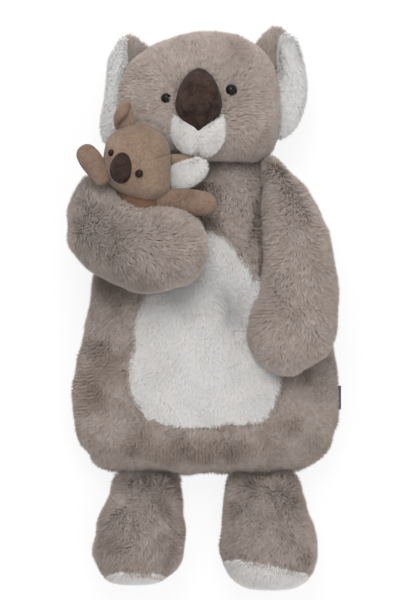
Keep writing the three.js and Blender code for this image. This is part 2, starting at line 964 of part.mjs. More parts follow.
const leftLiningForm = {
  outline: [
    [-0.37, 0.79],
    [-0.42, 0.61],
    [-0.37, 0.27],
    [-0.53, -0.01],
    [-0.89, -0.38],
    [-1, -0.81],
    [-0.53, -1],
    [0.11, -0.87],
    [0.58, -0.66],
    [0.89, -0.36],
    [1, 0.01],
    [0.79, 0.5],
    [0.53, 0.85],
    [0.11, 1],
    [-0.26, 0.98],
  ],
  width: 19,
  height: 53.5,
  front: liningFront,
  back: liningBack,
  at: [leftLiningAcross, leftLiningAlong, liningLevel],
};
const rightEarForm = {
  outline: [
    [-0.44, 0.79],
    [-0.64, 0.49],
    [-0.72, 0.13],
    [-0.84, -0.28],
    [-1, -0.64],
    [-0.96, -0.91],
    [-0.72, -1],
    [-0.16, -0.83],
    [0.32, -0.49],
    [0.72, -0.11],
    [0.96, 0.26],
    [1, 0.62],
    [0.44, 0.83],
    [-0.12, 1],
  ],
  width: 25,
  height: 53,
  front: earFront,
  back: earBack,
  at: [rightEarAcross, rightEarAlong, earLevel],
};
const rightLiningForm = {
  outline: [
    [0.49, 1],
    [0.05, 0.8],
    [-0.4, 0.58],
    [-0.56, 0.2],
    [-0.71, -0.2],
    [-0.97, -0.53],
    [-1, -0.8],
    [-0.71, -1],
    [-0.21, -0.91],
    [0.3, -0.67],
    [0.81, -0.33],
    [1, -0.07],
    [0.87, 0.11],
    [0.62, 0.29],
    [0.49, 0.58],
    [0.43, 0.8],
  ],
  width: 15.8,
  height: 55,
  front: liningFront,
  back: liningBack,
  at: [rightLiningAcross, rightLiningAlong, liningLevel],
};
piece('ear_left', cut(pillow(leftEarForm), headClear), taupe);
piece('ear_lining_left', cut(pillow(leftLiningForm), headClear, pillow(leftEarForm, gap)), white);
piece('ear_right', cut(pillow(rightEarForm), headClear), taupe);
piece('ear_lining_right', cut(pillow(rightLiningForm), headClear, pillow(rightEarForm, gap)), white);

// Arms: stuffed forms that lie on the torso, the right one bent across it
const leftArmShares = [
  [0, -0.213, -0.043, 0.694, 0.744],
  [0.014, -0.426, 0.149, 0.579, 0.818],
  [0.041, -0.681, 0.34, 0.512, 0.86],
  [0.097, -0.915, 0.702, 0.43, 0.934],
  [0.157, -1, 0.894, 0.38, 0.975],
  [0.253, -0.979, 0.936, 0.347, 1],
  [0.336, -0.787, 0.957, 0.331, 0.992],
  [0.415, -0.702, 0.957, 0.314, 0.975],
  [0.521, -0.66, 0.872, 0.298, 0.95],
  [0.641, -0.681, 0.787, 0.281, 0.909],
  [0.77, -0.681, 0.511, 0.264, 0.835],
  [0.862, -0.66, 0.213, 0.264, 0.744],
  [0.935, -0.638, -0.106, 0.264, 0.628],
  [0.982, -0.596, -0.277, 0.298, 0.512],
  [1, -0.532, -0.383, 0.347, 0.43],
];
const leftArmForm = {
  start: -66,
  length: 217,
  middle: 88,
  width: 47,
  depth: 121,
  shares: leftArmShares,
  seamShare: 0.5,
  frontPower: 2.2,
  backPower: 2.2,
};
piece('arm_left', cut(stuffed(leftArmForm), torsoClear, headClear, patchClear), taupe);
const rightArmShares = [
  [0, 0.083, 0.317, 0.434, 0.503],
  [0.018, -0.133, 0.533, 0.35, 0.587],
  [0.062, -0.317, 0.8, 0.266, 0.685],
  [0.136, -0.5, 1.033, 0.21, 0.769],
  [0.223, -0.65, 1, 0.21, 0.839],
  [0.311, -0.767, 0.917, 0.238, 0.888],
  [0.399, -0.85, 0.783, 0.28, 0.93],
  [0.502, -0.917, 0.667, 0.322, 0.965],
  [0.604, -0.95, 0.583, 0.364, 0.986],
  [0.722, -0.9, 0.533, 0.406, 1],
  [0.839, -0.817, 0.45, 0.448, 0.993],
  [0.927, -0.683, 0.3, 0.503, 0.958],
  [0.978, -0.483, 0.1, 0.601, 0.881],
  [1, -0.283, -0.083, 0.685, 0.783],
];
const rightArmForm = {
  start: -136.5,
  length: 136.5,
  middle: 70,
  width: 60,
  depth: 143,
  shares: rightArmShares,
  axis: 'x',
  seamShare: 0.5,
  frontPower: 2.2,
  backPower: 2.2,
};
const rightArmClear = stuffed(rightArmForm, gap);
piece('arm_right', cut(stuffed(rightArmForm), torsoClear, headClear, patchClear), taupe);

// Legs: stuffed forms sewn in the bottom seam, each with a white sole over its foot
const rightLegShares = [
  [0, -0.362, 0.234, 0.289, 0.526],
  [0.036, -0.66, 0.489, 0.105, 0.737],
  [0.107, -0.851, 0.723, 0.013, 0.921],
  [0.178, -0.936, 0.894, 0, 0.987],
  [0.285, -1, 0.979, 0, 1],
  [0.409, -0.936, 1, 0, 0.947],
  [0.552, -0.872, 0.979, 0, 0.868],
  [0.694, -0.723, 0.936, 0, 0.763],
  [0.827, -0.617, 0.915, 0.013, 0.632],
  [0.899, -0.596, 0.936, 0.066, 0.5],
  [0.952, -0.574, 0.936, 0.163, 0.363],
  [0.983, -0.553, 0.936, 0.234, 0.292],
  [1, -0.511, 0.894, 0.253, 0.274],
];
const leftLegShares = [
  [0, -0.347, 0.347, 0.26, 0.519],
  [0.035, -0.633, 0.633, 0.091, 0.727],
  [0.105, -0.816, 0.857, 0, 0.909],
  [0.192, -0.939, 0.959, 0, 0.987],
  [0.28, -1, 1, 0, 1],
  [0.42, -1, 0.98, 0, 0.948],
  [0.559, -0.959, 0.878, 0, 0.87],
  [0.699, -0.939, 0.776, 0, 0.753],
  [0.83, -0.918, 0.673, 0.013, 0.623],
  [0.9, -0.898, 0.633, 0.065, 0.494],
  [0.953, -0.878, 0.612, 0.161, 0.358],
  [0.983, -0.857, 0.612, 0.231, 0.288],
  [1, -0.816, 0.571, 0.249, 0.27],
];
const rightLegForm = {
  start: -279,
  length: 112.4,
  middle: -67,
  width: 47,
  depth: 76,
  shares: rightLegShares,
  seamShare: 0.4,
  press: 2,
};
const leftLegForm = {
  start: -281,
  length: 114.4,
  middle: 65,
  width: 49,
  depth: 77,
  shares: leftLegShares,
  seamShare: 0.4,
  press: 2,
};
const soleThick = 2.5;
const soleLean = 0.23; // how far the sole's plane leans back
const soleTurn = { left: -0.2, right: 0 }; // and how far it turns towards the other foot
const soleAway = { left: 253.6, right: 277 };
Object.entries({ left: leftLegForm, right: rightLegForm }).forEach(([side, form]) => {
  const plane = new THREE.Vector3(soleTurn[side], -1, soleLean).normalize();
  const toes = stuffed(form, gap + soleThick).trimByPlane(plane.toArray(), soleAway[side]);
  piece(`leg_${side}`, cut(stuffed(form), torsoClear), taupe);
  piece(`sole_${side}`, cut(toes, stuffed(form, gap)), white);
});

// Young koala: head, body, two arms and two ears, carried in the crook of the right arm
const babyHeadShares = [
  [0, 0.186, 0.329, 0.704, 0.775],
  [0.032, -0.1, 0.586, 0.62, 0.859],
  [0.123, -0.529, 0.871, 0.556, 0.937],
  [0.227, -0.786, 0.929, 0.521, 0.972],
  [0.357, -0.957, 0.91, 0.5, 0.993],
  [0.5, -0.986, 0.93, 0.493, 1],
  [0.63, -0.957, 0.93, 0.5, 0.993],
  [0.76, -0.89, 0.86, 0.528, 0.972],
  [0.877, -0.72, 0.671, 0.577, 0.923],
  [0.955, -0.45, 0.414, 0.641, 0.859],
  [1, -0.043, 0.186, 0.704, 0.789],
];
const babyHeadForm = {
  start: 103.5,
  length: 77,
  middle: -66.5,
  width: 35,
  depth: 142,
  shares: babyHeadShares,
  around: 20,
  seamShare: 0.5,
  frontPower: 2,
  backPower: 2,
};
const babyHeadClear = stuffed(babyHeadForm, gap);
const babyEyeRadius = 3.4;
const babyShank = 1;
const babyShankReach = 6;
const babyLeftEyeAcross = -64.5;
const babyLeftEyeAlong = 130;
const babyRightEyeAcross = -92;
const babyRightEyeAlong = 151;
const babyHoleTop = 8;
const babyEyeSides = 12;
const babyEyePlan = {
  left: [babyLeftEyeAcross, babyLeftEyeAlong],
  right: [babyRightEyeAcross, babyRightEyeAlong],
};
const babyEyeSpots = Object.fromEntries(
  Object.entries(babyEyePlan).map(([side, [x, y]]) => [
    side,
    [x, y, frontHeight(babyHeadForm, x, y)],
  ]),
);
const babyEyeHoles = Object.values(babyEyeSpots).map((spot) =>
  turned(
    [
      [0, -babyShankReach - gap],
      [babyShank + gap, -babyShankReach - gap],
      [babyShank + gap, babyHoleTop],
      [0, babyHoleTop],
    ],
    spot,
    plusZ,
    babyEyeSides,
  ),
);
const larger = [torsoClear, headClear, patchClear, rightArmClear];
piece('baby_head', cut(stuffed(babyHeadForm), ...larger, ...babyEyeHoles), tan);
Object.entries(babyEyeSpots).forEach(([side, spot]) => {
  const dome = turned(
    domeProfile.map(([radius, height]) => [
      (radius * babyEyeRadius) / eyeRadius,
      (height * babyEyeRadius) / eyeRadius,
    ]),
    spot,
    plusZ,
    babyEyeSides,
  );
  const shank = turned(
    [[0, -babyShankReach], [babyShank, -babyShankReach], [babyShank, gap], [0, gap]],
    spot,
    plusZ,
    babyEyeSides,
  );
  piece(`baby_eye_${side}`, join(cut(dome, babyHeadClear), shank), suede, 0.3);
});
const babyNoseAcross = -80;
const babyNoseAlong = 136.5;
const babyNoseSink = 8;
const babyNoseForm = {
  outline: [
    [0, 1],
    [-0.52, 0.84],
    [-0.88, 0.42],
    [-1, -0.08],
    [-0.88, -0.52],
    [-0.52, -0.86],
    [0, -1],
    [0.52, -0.86],
    [0.88, -0.52],
    [1, -0.08],
    [0.88, 0.42],
    [0.52, 0.84],
  ],
  width: 12.2,
  height: 16,
  front: 16,
  back: 6,
  at: [
    babyNoseAcross,
    babyNoseAlong,
    frontHeight(babyHeadForm, babyNoseAcross, babyNoseAlong) - babyNoseSink,
  ],
  tilt: [0.25, -0.35, -0.12],
  around: 16,
  layers: 6,
};
piece('baby_nose', cut(pillow(babyNoseForm), babyHeadClear), suede, 0.85);

const babyBodyShares = [
  [0, 0.3, 0.3],
  [0.1, 0.7, 0.7],
  [0.3, 0.95, 0.95],
  [0.55, 1, 1],
  [0.8, 0.85, 0.85],
  [1, 0.4, 0.4],
];
const babyBodyForm = {
  from: [-64, 72, 98],
  to: [-66, 125, 104],
  width: 52,
  depth: 40,
  shares: babyBodyShares,
};
const babyBodyClear = paddle(babyBodyForm, gap);
piece('baby_body', cut(paddle(babyBodyForm), ...larger, babyHeadClear), tan);

const paddleShares = [
  [0, 0.4, 0.5],
  [0.06, 0.7, 0.8],
  [0.25, 0.86, 1],
  [0.6, 1, 1],
  [0.85, 0.88, 0.85],
  [0.96, 0.6, 0.6],
  [1, 0.3, 0.3],
];
const babyArmForms = {
  left: { from: [-50, 106, 112], to: [11, 101, 104], width: 26, depth: 15, shares: paddleShares },
  right: { from: [-97, 122, 122], to: [-122, 158, 108], width: 23, depth: 15, shares: paddleShares },
};
Object.entries(babyArmForms).forEach(([side, form]) => {
  const around = [...larger, babyHeadClear, babyBodyClear, pillow(babyNoseForm, gap)];
  piece(`baby_arm_${side}`, cut(paddle(form), ...around), tan);
});

const babyEarThick = 6;
const babyLiningFront = 8;
const babyLiningBack = 4;
const babyLiningRise = 7;
const babyLeftLevel = 98;
const babyRightLevel = 108;
const babyEarForms = {
  left: {
    outline: [
      [-1, -0.46],
      [-0.74, -1],
      [-0.23, -0.89],
      [0.28, -0.62],
      [0.74, -0.24],
      [1, 0.08],
      [0.95, 0.57],
      [0.59, 0.78],
      [0.28, 0.95],
      [-0.28, 1],
      [-0.85, 0.95],
      [-0.95, 0.73],
    ],
    width: 19.5,
    height: 18.5,
    front: babyEarThick,
    back: babyEarThick,
    at: [-19, 133, babyLeftLevel],
    around: 20,
    layers: 6,
  },
  right: {
    outline: [
      [-1, -0.21],
      [-0.81, -0.75],
      [-0.12, -1],
      [0.63, -0.94],
      [1, -0.5],
      [0.81, 0.06],
      [0.67, 0.69],
      [0.43, 1],
      [-0.04, 0.88],
      [-0.58, 0.5],
      [-0.91, 0.14],
    ],
    width: 10.8,
    height: 16,
    front: babyEarThick,
    back: babyEarThick,
    at: [-79.8, 188, babyRightLevel],
    around: 20,
    layers: 6,
  },
};
const babyLiningForms = {
  left: {
    outline: [
      [-1, -0.59],
      [-0.79, -1],
      [-0.25, -0.87],
      [0.28, -0.52],
      [0.76, -0.08],
      [1, 0.3],
      [0.97, 0.81],
      [0.65, 1],
      [0.17, 0.84],
      [-0.41, 0.62],
      [-0.95, 0.24],
    ],
    width: 18.8,
    height: 15.8,
    front: babyLiningFront,
    back: babyLiningBack,
    at: [-18.7, 129.7, babyLeftLevel + babyLiningRise],
    around: 20,
    layers: 6,
  },
  right: {
    outline: [
      [-1, -0.48],
      [-0.67, -1],
      [-0.13, -0.74],
      [0.53, -0.3],
      [0.93, 0.22],
      [1, 0.91],
      [0.53, 1],
      [-0.27, 0.65],
      [-0.8, 0.22],
    ],
    width: 7.5,
    height: 11.5,
    front: babyLiningFront,
    back: babyLiningBack,
    at: [-82, 190.5, babyRightLevel + babyLiningRise],
    around: 20,
    layers: 6,
  },
};
const babyArmClear = Object.values(babyArmForms).map((form) => paddle(form, gap));
Object.entries(babyEarForms).forEach(([side, form]) => {
  const around = [...larger, babyHeadClear, ...babyArmClear, pillow(muzzleForm, gap)];
  piece(`baby_ear_${side}`, cut(pillow(form), ...around), tan);
  const lining = cut(pillow(babyLiningForms[side]), ...around, pillow(form, gap));
  piece(`baby_ear_lining_${side}`, lining, white);
});

// The frame's origin: the middle of the toy's outline, on the floor
const outline = new THREE.Box3().setFromObject(toy);
const middle = outline.getCenter(new THREE.Vector3());
toy.position.set(-middle.x, -middle.y, 0);

export default toy;
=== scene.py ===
import bpy
import numpy as np
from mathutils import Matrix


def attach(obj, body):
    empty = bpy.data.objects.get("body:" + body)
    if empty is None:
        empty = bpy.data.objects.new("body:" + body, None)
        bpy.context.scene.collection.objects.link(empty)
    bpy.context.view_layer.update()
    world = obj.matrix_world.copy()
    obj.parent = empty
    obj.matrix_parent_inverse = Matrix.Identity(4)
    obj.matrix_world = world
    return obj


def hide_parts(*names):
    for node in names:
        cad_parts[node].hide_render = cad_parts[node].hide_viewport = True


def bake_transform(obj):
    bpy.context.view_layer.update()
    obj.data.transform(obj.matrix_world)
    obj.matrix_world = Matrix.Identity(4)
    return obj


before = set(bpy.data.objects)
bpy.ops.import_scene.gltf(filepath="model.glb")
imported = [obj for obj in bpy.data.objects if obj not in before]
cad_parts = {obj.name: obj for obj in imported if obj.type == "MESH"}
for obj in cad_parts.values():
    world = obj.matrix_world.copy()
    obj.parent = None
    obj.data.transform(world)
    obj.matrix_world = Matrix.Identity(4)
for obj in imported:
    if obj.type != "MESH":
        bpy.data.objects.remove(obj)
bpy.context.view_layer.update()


# View: the toy lies on its back and is seen from straight above, from three metres, through a
# lens that takes in the photograph's width at the height of the toy's front.
def new_object(name, data):
    """Adds an object with this data to the scene."""
    made = bpy.data.objects.new(name, data)
    bpy.context.collection.objects.link(made)
    return made


mm = 0.001
view_height = 3.0
view_middle = (1.3 * mm, 7.2 * mm)
front_level = 70 * mm
seen_width = 414 * mm
sensor_width = 36
camera_data = bpy.data.cameras.new("camera")
camera_data.sensor_fit = "HORIZONTAL"
camera_data.sensor_width = sensor_width
camera_data.lens = sensor_width * (view_height - front_level) / seen_width
camera = new_object("camera", camera_data)
camera.location = (*view_middle, view_height)
bpy.context.scene.camera = camera
bpy.context.scene.view_settings.view_transform = "Standard"


# Sheet: matt white paper, laid flat under the toy. Seen by the camera it glows, so that it is as
# white as the photograph's ground, but it throws only a plain sheet's light on the toy.
class Socket:
    """A value in a material's node tree; + - * and ** add Math nodes, on either side of it."""

    def __init__(self, tree, link):
        self.tree = tree
        self.link = link

    def node(self, kind, out=0, settings=None, **sockets):
        """Adds a node: its settings first, then values or links for its sockets, which are
        named with _ for a space, or _0, _1 and so on by number. Returns its output out."""
        made = self.tree.nodes.new(kind)
        for name, value in (settings or {}).items():
            setattr(made, name, value)
        for name, value in sockets.items():
            key = int(name[1:]) if name[0] == "_" else name.replace("_", " ")
            set_input(made.inputs[key], value)
        return Socket(self.tree, made.outputs[out])

    def maths(self, operation, other, flip=False):
        """The operation on this value and the other, or the other way round."""
        first, second = (other, self) if flip else (self, other)
        return self.node("ShaderNodeMath", settings={"operation": operation}, _0=first, _1=second)

    def __add__(self, other):
        return self.maths("ADD", other)

    def __sub__(self, other):
        return self.maths("SUBTRACT", other)

    def __rsub__(self, other):
        return self.maths("SUBTRACT", other, flip=True)

    def __mul__(self, other):
        return self.maths("MULTIPLY", other)

    def __pow__(self, other):
        return self.maths("POWER", other)

    def __rpow__(self, other):
        return self.maths("POWER", other, flip=True)

    __radd__ = __add__
    __rmul__ = __mul__

    def clamped(self):
        """This value, held between 0 and 1."""
        return self.node("ShaderNodeClamp", _0=self)

    def mixed(self, low, high):
        """The colour low where this value is 0 and high where it is 1."""
        return self.node(
            "ShaderNodeMix", out=2, settings={"data_type": "RGBA"}, _0=self, _6=low, _7=high
        )


def set_input(target, value):
    """Links a socket to the input, or sets the input; a colour of three numbers is made opaque."""
    if isinstance(value, Socket):
        value.tree.links.new(value.link, target)
    elif target.type == "RGBA" and len(value) == 3:
        target.default_value = (*value, 1)
    else:
        target.default_value = value


def feed(shader, **inputs):
    """Sets the shader's inputs, named with _ for a space."""
    for name, value in inputs.items():
        set_input(shader.inputs[name.replace("_", " ")], value)


def new_material(name):
    """A material with one Principled shader; returns it, the shader and the shader's output."""
    material = bpy.data.materials.new(name)
    material.use_nodes = True
    tree = material.node_tree
    shader = tree.nodes["Principled BSDF"]
    return material, shader, Socket(tree, shader.outputs[0])


paper_white = (0.9, 0.9, 0.9)
paper_roughness = 0.9
paper_glow_share = 0.86
paper_reach = 6.0
paper, paper_shader, paper_look = new_material("white_paper")
feed(paper_shader, Base_Color=paper_white, Roughness=paper_roughness)
straight, mirrored, through_glass = (
    paper_look.node("ShaderNodeLightPath", out=f"Is {ray} Ray")
    for ray in ("Camera", "Glossy", "Transmission")
)
seen = straight.maths("MAXIMUM", mirrored).maths("MAXIMUM", through_glass)
glow = paper_look.node("ShaderNodeEmission", Color=(1, 1, 1), Strength=1.0)
glowing = paper_look.node("ShaderNodeMixShader", _0=seen * paper_glow_share, _1=paper_look, _2=glow)
set_input(paper.node_tree.nodes["Material Output"].inputs["Surface"], glowing)
sheet_corners = [(x * paper_reach, y * paper_reach, 0) for x, y in ((-1, -1), (1, -1), (1, 1), (-1, 1))]
floor_data = bpy.data.meshes.new("floor")
floor_data.from_pydata(sheet_corners, [], [(0, 1, 2, 3)])
floor_data.materials.append(paper)
floor = new_object("floor", floor_data)


# Light: pale light from all round, a soft lamp beyond the head, a broad one high above the toy's
# left side and a weak one beyond the feet.
room_light = 0.70
world = bpy.data.worlds.new("studio")
world.use_nodes = True
feed(world.node_tree.nodes["Background"], Color=(1, 1, 1), Strength=room_light)
bpy.context.scene.world = world


def lamp(name, place, size, power):
    """A square soft lamp, in metres and watts, that faces the middle of the toy."""
    data = bpy.data.lights.new(name, "AREA")
    data.shape = "SQUARE"
    data.size = size
    data.energy = power
    made = new_object(name, data)
    made.location = place
    made.rotation_euler = made.location.to_track_quat("Z", "Y").to_euler()


lamp("lamp_head_end", place=(-0.1, 1.0, 1.3), size=0.8, power=16)
lamp("lamp_front", place=(0.8, -0.3, 2.2), size=1.6, power=9)
lamp("lamp_foot_end", place=(0.3, -1.3, 0.8), size=0.9, power=4)


# Torso: the cover that holds the bottle, a stuffed front and two back panels in brown-grey plush,
# joined along the side seam. Its skin is the knitted backing; the pile is rooted in the skin and
# fills the last millimetres to the outline, and lies flat underneath.
toy_shift = (-0.5, 0.5)
skin_depth, back_depth = 4.2, 9.5
torso_seam = 0.36
torso_stations = [
    (-166, -80, 80, 17, 22), (-163, -97, 99, 8, 29.4), (-155, -114, 114, 0, 48), (-145, -120, 122, 0, 60),
    (-133, -128, 130, 0, 69), (-113, -134, 134, 0, 78), (-85, -135, 135, 0, 84), (-57, -130, 132, 0, 88),
    (-25, -123, 127, 0, 89), (7, -117, 117, 0, 88), (39, -113, 106, 0, 86), (71, -113, 97, 0, 82),
    (103, -109, 87, 0, 78), (125, -102, 75, 0, 74), (141, -86, 64, 2, 71), (150, -66, 56, 9, 63),
    (154, -50, 44, 18, 52),
]
front_power, back_power = 2.2, 2.6
station_steps, curve_steps = 400, 1200


def catmull_rom(before, here, there, after, part):
    """The cubic from here to there, at the share part of the way, whose slope at each end is half
    the step from the point before that end to the point after it."""
    return 0.5 * (
        2 * here
        + (there - before) * part
        + (2 * before - 5 * here + 4 * there - after) * part**2
        + (3 * here - before - 3 * there + after) * part**3
    )


def through(stations, count):
    """Rows at even steps of the row number: a Catmull-Rom curve in each column of the stations."""
    table = np.asarray(stations, float)
    place = np.linspace(0, len(table) - 1, count)
    index = np.clip(place.astype(int), 0, len(table) - 2)
    before = table[np.clip(index - 1, 0, None)]
    after = table[np.clip(index + 2, None, len(table) - 1)]
    return catmull_rom(before, table[index], table[index + 1], after, (place - index)[:, None])


def signed_power(value, power):
    """The value's size to the power 2 / power, with its sign kept: on a sine and a cosine it
    makes a circle a superellipse."""
    return np.sign(value) * np.abs(value) ** (2 / power)


def unit(vectors):
    """The vectors divided by their lengths."""
    return vectors / (np.linalg.norm(vectors, axis=-1, keepdims=True) + 1e-12)


def placed(grid):
    """A grid in metres in the frame, from one in mm from the drawing's zero."""
    return (grid + np.array([*toy_shift, 0])) * mm


def local(points):
    """Plan position in mm, from the drawing's zero, of points in metres."""
    return points[..., 0] / mm - toy_shift[0], points[..., 1] / mm - toy_shift[1]


side_draw, least_width = 1.35, 0.62
back_draw, most_draw = 0.8, 0.19
end_draw_power = 9


def stuffed(
    stations, rows, around, seam, front=front_power, back=back_power, press=0.0, inset=0.0, axis="y",
    ends=(1, 1),
):
    """Ovals across stations of [along, side, other side, back, front] in mm. Each is half a
    superellipse of power front above its seam and half one of power back below it, which goes
    deeper by press and is cut off flat at the station's back. The seam is at its share of the
    height. An inset draws the form in, to leave room for its pile: at the ends by the ninth power
    of the way from the middle, and by no more than a share of its width and depth."""
    along, low, high, floor_z, crown = through(stations, rows).T[:, :, None]
    way = np.linspace(-1, 1, rows)[:, None]
    along = along - inset * way**end_draw_power * np.where(way < 0, *ends)
    half = (high - low) / 2
    half = np.maximum(half - side_draw * inset, least_width * half)
    thick = crown - floor_z
    floor_z = floor_z + np.minimum(back_draw * inset, most_draw * thick)
    crown = crown - np.minimum(inset, most_draw * thick)
    seam_z = floor_z + seam * (crown - floor_z)
    angle = np.linspace(0, 2 * np.pi, around, endpoint=False)[None, :]
    turn = np.sin(angle)
    power = np.where(turn > 0, front, back)
    across = (low + high) / 2 + half * signed_power(np.cos(angle), power)
    rise = np.where(turn > 0, crown - seam_z, seam_z - floor_z + press)
    up = np.maximum(seam_z + rise * signed_power(turn, power), floor_z)
    along = np.broadcast_to(along, across.shape)
    return placed(np.stack([across, along, up] if axis == "y" else [along, across, up], axis=-1))


def front_of(stations, x, y, seam, power=front_power):
    """Height in mm of a stuffed form's front over plan points in mm: the oval of the rows
    between stations, at its share out from the middle line; nan beside the form."""
    table = through(stations, station_steps)
    table = table[np.argsort(table[:, 0])]
    low, high, floor_z, crown = (np.interp(y, table[:, 0], table[:, k]) for k in (1, 2, 3, 4))
    out = np.abs(x - (low + high) / 2) / ((high - low) / 2)
    inside = (out < 1) & (y > table[0, 0]) & (y < table[-1, 0])
    seam_z = floor_z + seam * (crown - floor_z)
    share = np.clip(1 - np.where(inside, out, 1) ** power, 0, 1) ** (1 / power)
    return np.where(inside, seam_z + (crown - seam_z) * share, np.nan)


def front_at(stations, spot, seam, power=front_power):
    """The same height at one spot."""
    return float(front_of(stations, *map(np.array, spot), seam, power))


def grid_normals(grid):
    """Outward normals of a grid of rings: the cross product of the steps round and along it."""
    round_step = np.roll(grid, -1, axis=1) - np.roll(grid, 1, axis=1)
    padded = np.concatenate([grid[:1], grid, grid[-1:]])
    normal = unit(np.cross(round_step, padded[2:] - padded[:-2]))
    outward = grid - grid.mean(axis=1, keepdims=True)
    return -normal if (normal * outward).sum() < 0 else normal


steep_share = 0.25
wadding_waves = (
    (1.0, (1.0, 0.6, 0.0), (0.0, 0.7, -0.5)),
    (0.7, (0.4, 1.7, 0.0), (1.5, 0.0, 0.0)),
    (0.5, (2.3, -1.9, 0.0), (0.0, 0.0, 1.3)),
)
wadding_level, phase_span = 0.6, 6.3


def stuffing(grid, seed, depth, size):
    """Uneven wadding: each point moves along its normal by a sum of three waves, each a share of
    a sine times a sine with its own turns along x, y and z in each size in mm."""
    phase = np.random.default_rng(seed).uniform(0, phase_span, (len(wadding_waves), 2))
    x, y, z = (grid[..., k] / mm * 2 * np.pi / size for k in range(3))
    wave = 0
    for (share, *sines), starts in zip(wadding_waves, phase):
        first, second = (
            np.sin(a * x + b * y + c * z + start) for (a, b, c), start in zip(sines, starts)
        )
        wave = wave + share * first * second
    return grid + depth * wadding_level * mm * wave[..., None] * grid_normals(grid)


def sew_groove(grid, line, depth=0.9, width=0.8):
    """A sewn seam along a line of plan points in mm: the front sinks along its normals by depth
    times a bell curve of the distance to the line. The back stays, and so do steep sides, from
    a share of the way up."""
    x, y = local(grid)
    line = np.asarray(line, float)
    nearest = np.full(x.shape, np.inf)
    for start, end in zip(line[:-1], line[1:]):
        run = end - start
        share = np.clip(((x - start[0]) * run[0] + (y - start[1]) * run[1]) / (run @ run), 0, 1)
        away = np.hypot(x - start[0] - share * run[0], y - start[1] - share * run[1])
        nearest = np.minimum(nearest, away)
    normals = grid_normals(grid)
    front = np.clip(normals[..., 2] / steep_share, 0, 1)
    drop = depth * np.exp(-((nearest / width) ** 2)) * front
    return grid - drop[..., None] * mm * normals


hollow_at, hollow_size, hollow_depth, hollow_over = (27, 4), (15, 30), 9.0, 50


def hand_hollow(grid):
    """The soft hollow beside the left hand: the front sinks by a bell curve across and along."""
    across, along = (
        (place - middle) / size for place, middle, size in zip(local(grid), hollow_at, hollow_size)
    )
    drop = hollow_depth * np.exp(-(across**2) - along**2)
    grid[..., 2] -= drop * mm * (grid[..., 2] > hollow_over * mm)
    return grid


def closed_curve(corners, count):
    """A closed Catmull-Rom curve through the corners, as points evenly spaced along it."""
    corners = np.asarray(corners, float)
    turn = np.linspace(0, len(corners), curve_steps, endpoint=False)
    index = turn.astype(int)
    near = (corners[(index + k) % len(corners)] for k in (-1, 0, 1, 2))
    curve = catmull_rom(*near, (turn - index)[:, None])
    loop = np.concatenate([curve, curve[:1]])
    length = np.concatenate([[0], np.cumsum(np.linalg.norm(np.diff(loop, axis=0), axis=1))])
    even = np.linspace(0, length[-1], count, endpoint=False)
    return np.stack([np.interp(even, length, loop[:, k]) for k in (0, 1)], -1)


def inside_of(outline, x, y):
    """True where plan points lie inside a closed outline: an odd number of its edges lies above."""
    ends = np.roll(outline, -1, axis=0)
    x, y = np.asarray(x)[..., None], np.asarray(y)[..., None]
    spans = (outline[:, 0] > x) != (ends[:, 0] > x)
    run = ends - outline
    slope = run[:, 1] / np.where(run[:, 0] == 0, 1e-9, run[:, 0])
    level = outline[:, 1] + (x - outline[:, 0]) * slope
    return (spans & (y < level)).sum(-1) % 2 == 1


def inside_share(edge, middle, share, points):
    """True where points in metres lie inside an edge that is shrunk to a share about its middle."""
    return inside_of((edge - middle) * share + middle, *local(points))


def skin(name, grid, material):
    """A closed smooth mesh over a grid of rings, with a pole at each end, facing outwards."""
    rows, around = grid.shape[:2]
    points = np.concatenate([grid.reshape(-1, 3), grid[0].mean(0)[None], grid[-1].mean(0)[None]])
    here = np.arange((rows - 1) * around).reshape(rows - 1, around)
    beside = np.roll(here, -1, axis=1)
    quads = np.stack([here, beside, beside + around, here + around], -1).reshape(-1, 4)
    first = np.arange(around)
    last = first + (rows - 1) * around
    cap_low = np.stack([np.roll(first, -1), first, np.full(around, rows * around)], -1)
    cap_high = np.stack([last, np.roll(last, -1), np.full(around, rows * around + 1)], -1)
    facing = np.cross((np.roll(grid, -1, 1) - grid)[:-1], grid[1:] - grid[:-1])
    outward = (grid - grid.mean(axis=1, keepdims=True))[:-1]
    if (facing * outward).sum() < 0:
        quads, cap_low, cap_high = quads[:, ::-1], cap_low[:, ::-1], cap_high[:, ::-1]
    mesh = bpy.data.meshes.new(name)
    mesh.from_pydata(points.tolist(), [], quads.tolist() + cap_low.tolist() + cap_high.tolist())
    mesh.polygons.foreach_set("use_smooth", np.ones(len(mesh.polygons), bool))
    mesh.materials.append(material)
    return new_object(name, mesh)


crush_seed, lattice_side = 1000, 32
crush_layers = ((0.65, 29.0), (0.35, 29.0 / 2.3))
crush_from, crush_span = 0.5, 0.16


def crushed_places(place, seed):
    """Where a pile is crushed, from 0 to 1, over points in mm: random heights on a lattice, joined
    by a cubic step and summed at two sizes in mm, of which only the upper part is left."""
    rng = np.random.default_rng(crush_seed + seed)
    field = np.zeros(len(place))
    for share, span in crush_layers:
        lattice = rng.random((lattice_side,) * 3)
        spot = place / span + lattice_side // 2
        low = np.floor(spot).astype(int)
        part = spot - low
        part = part * part * (3 - 2 * part)
        low %= lattice_side
        high = (low + 1) % lattice_side
        for corner in np.ndindex(2, 2, 2):
            x, y, z = np.where(corner, high, low).T
            weight = np.prod(np.where(corner, part, 1 - part), axis=1)
            field += share * weight * lattice[x, y, z]
    return np.clip((field - crush_from) / crush_span, 0, 1)


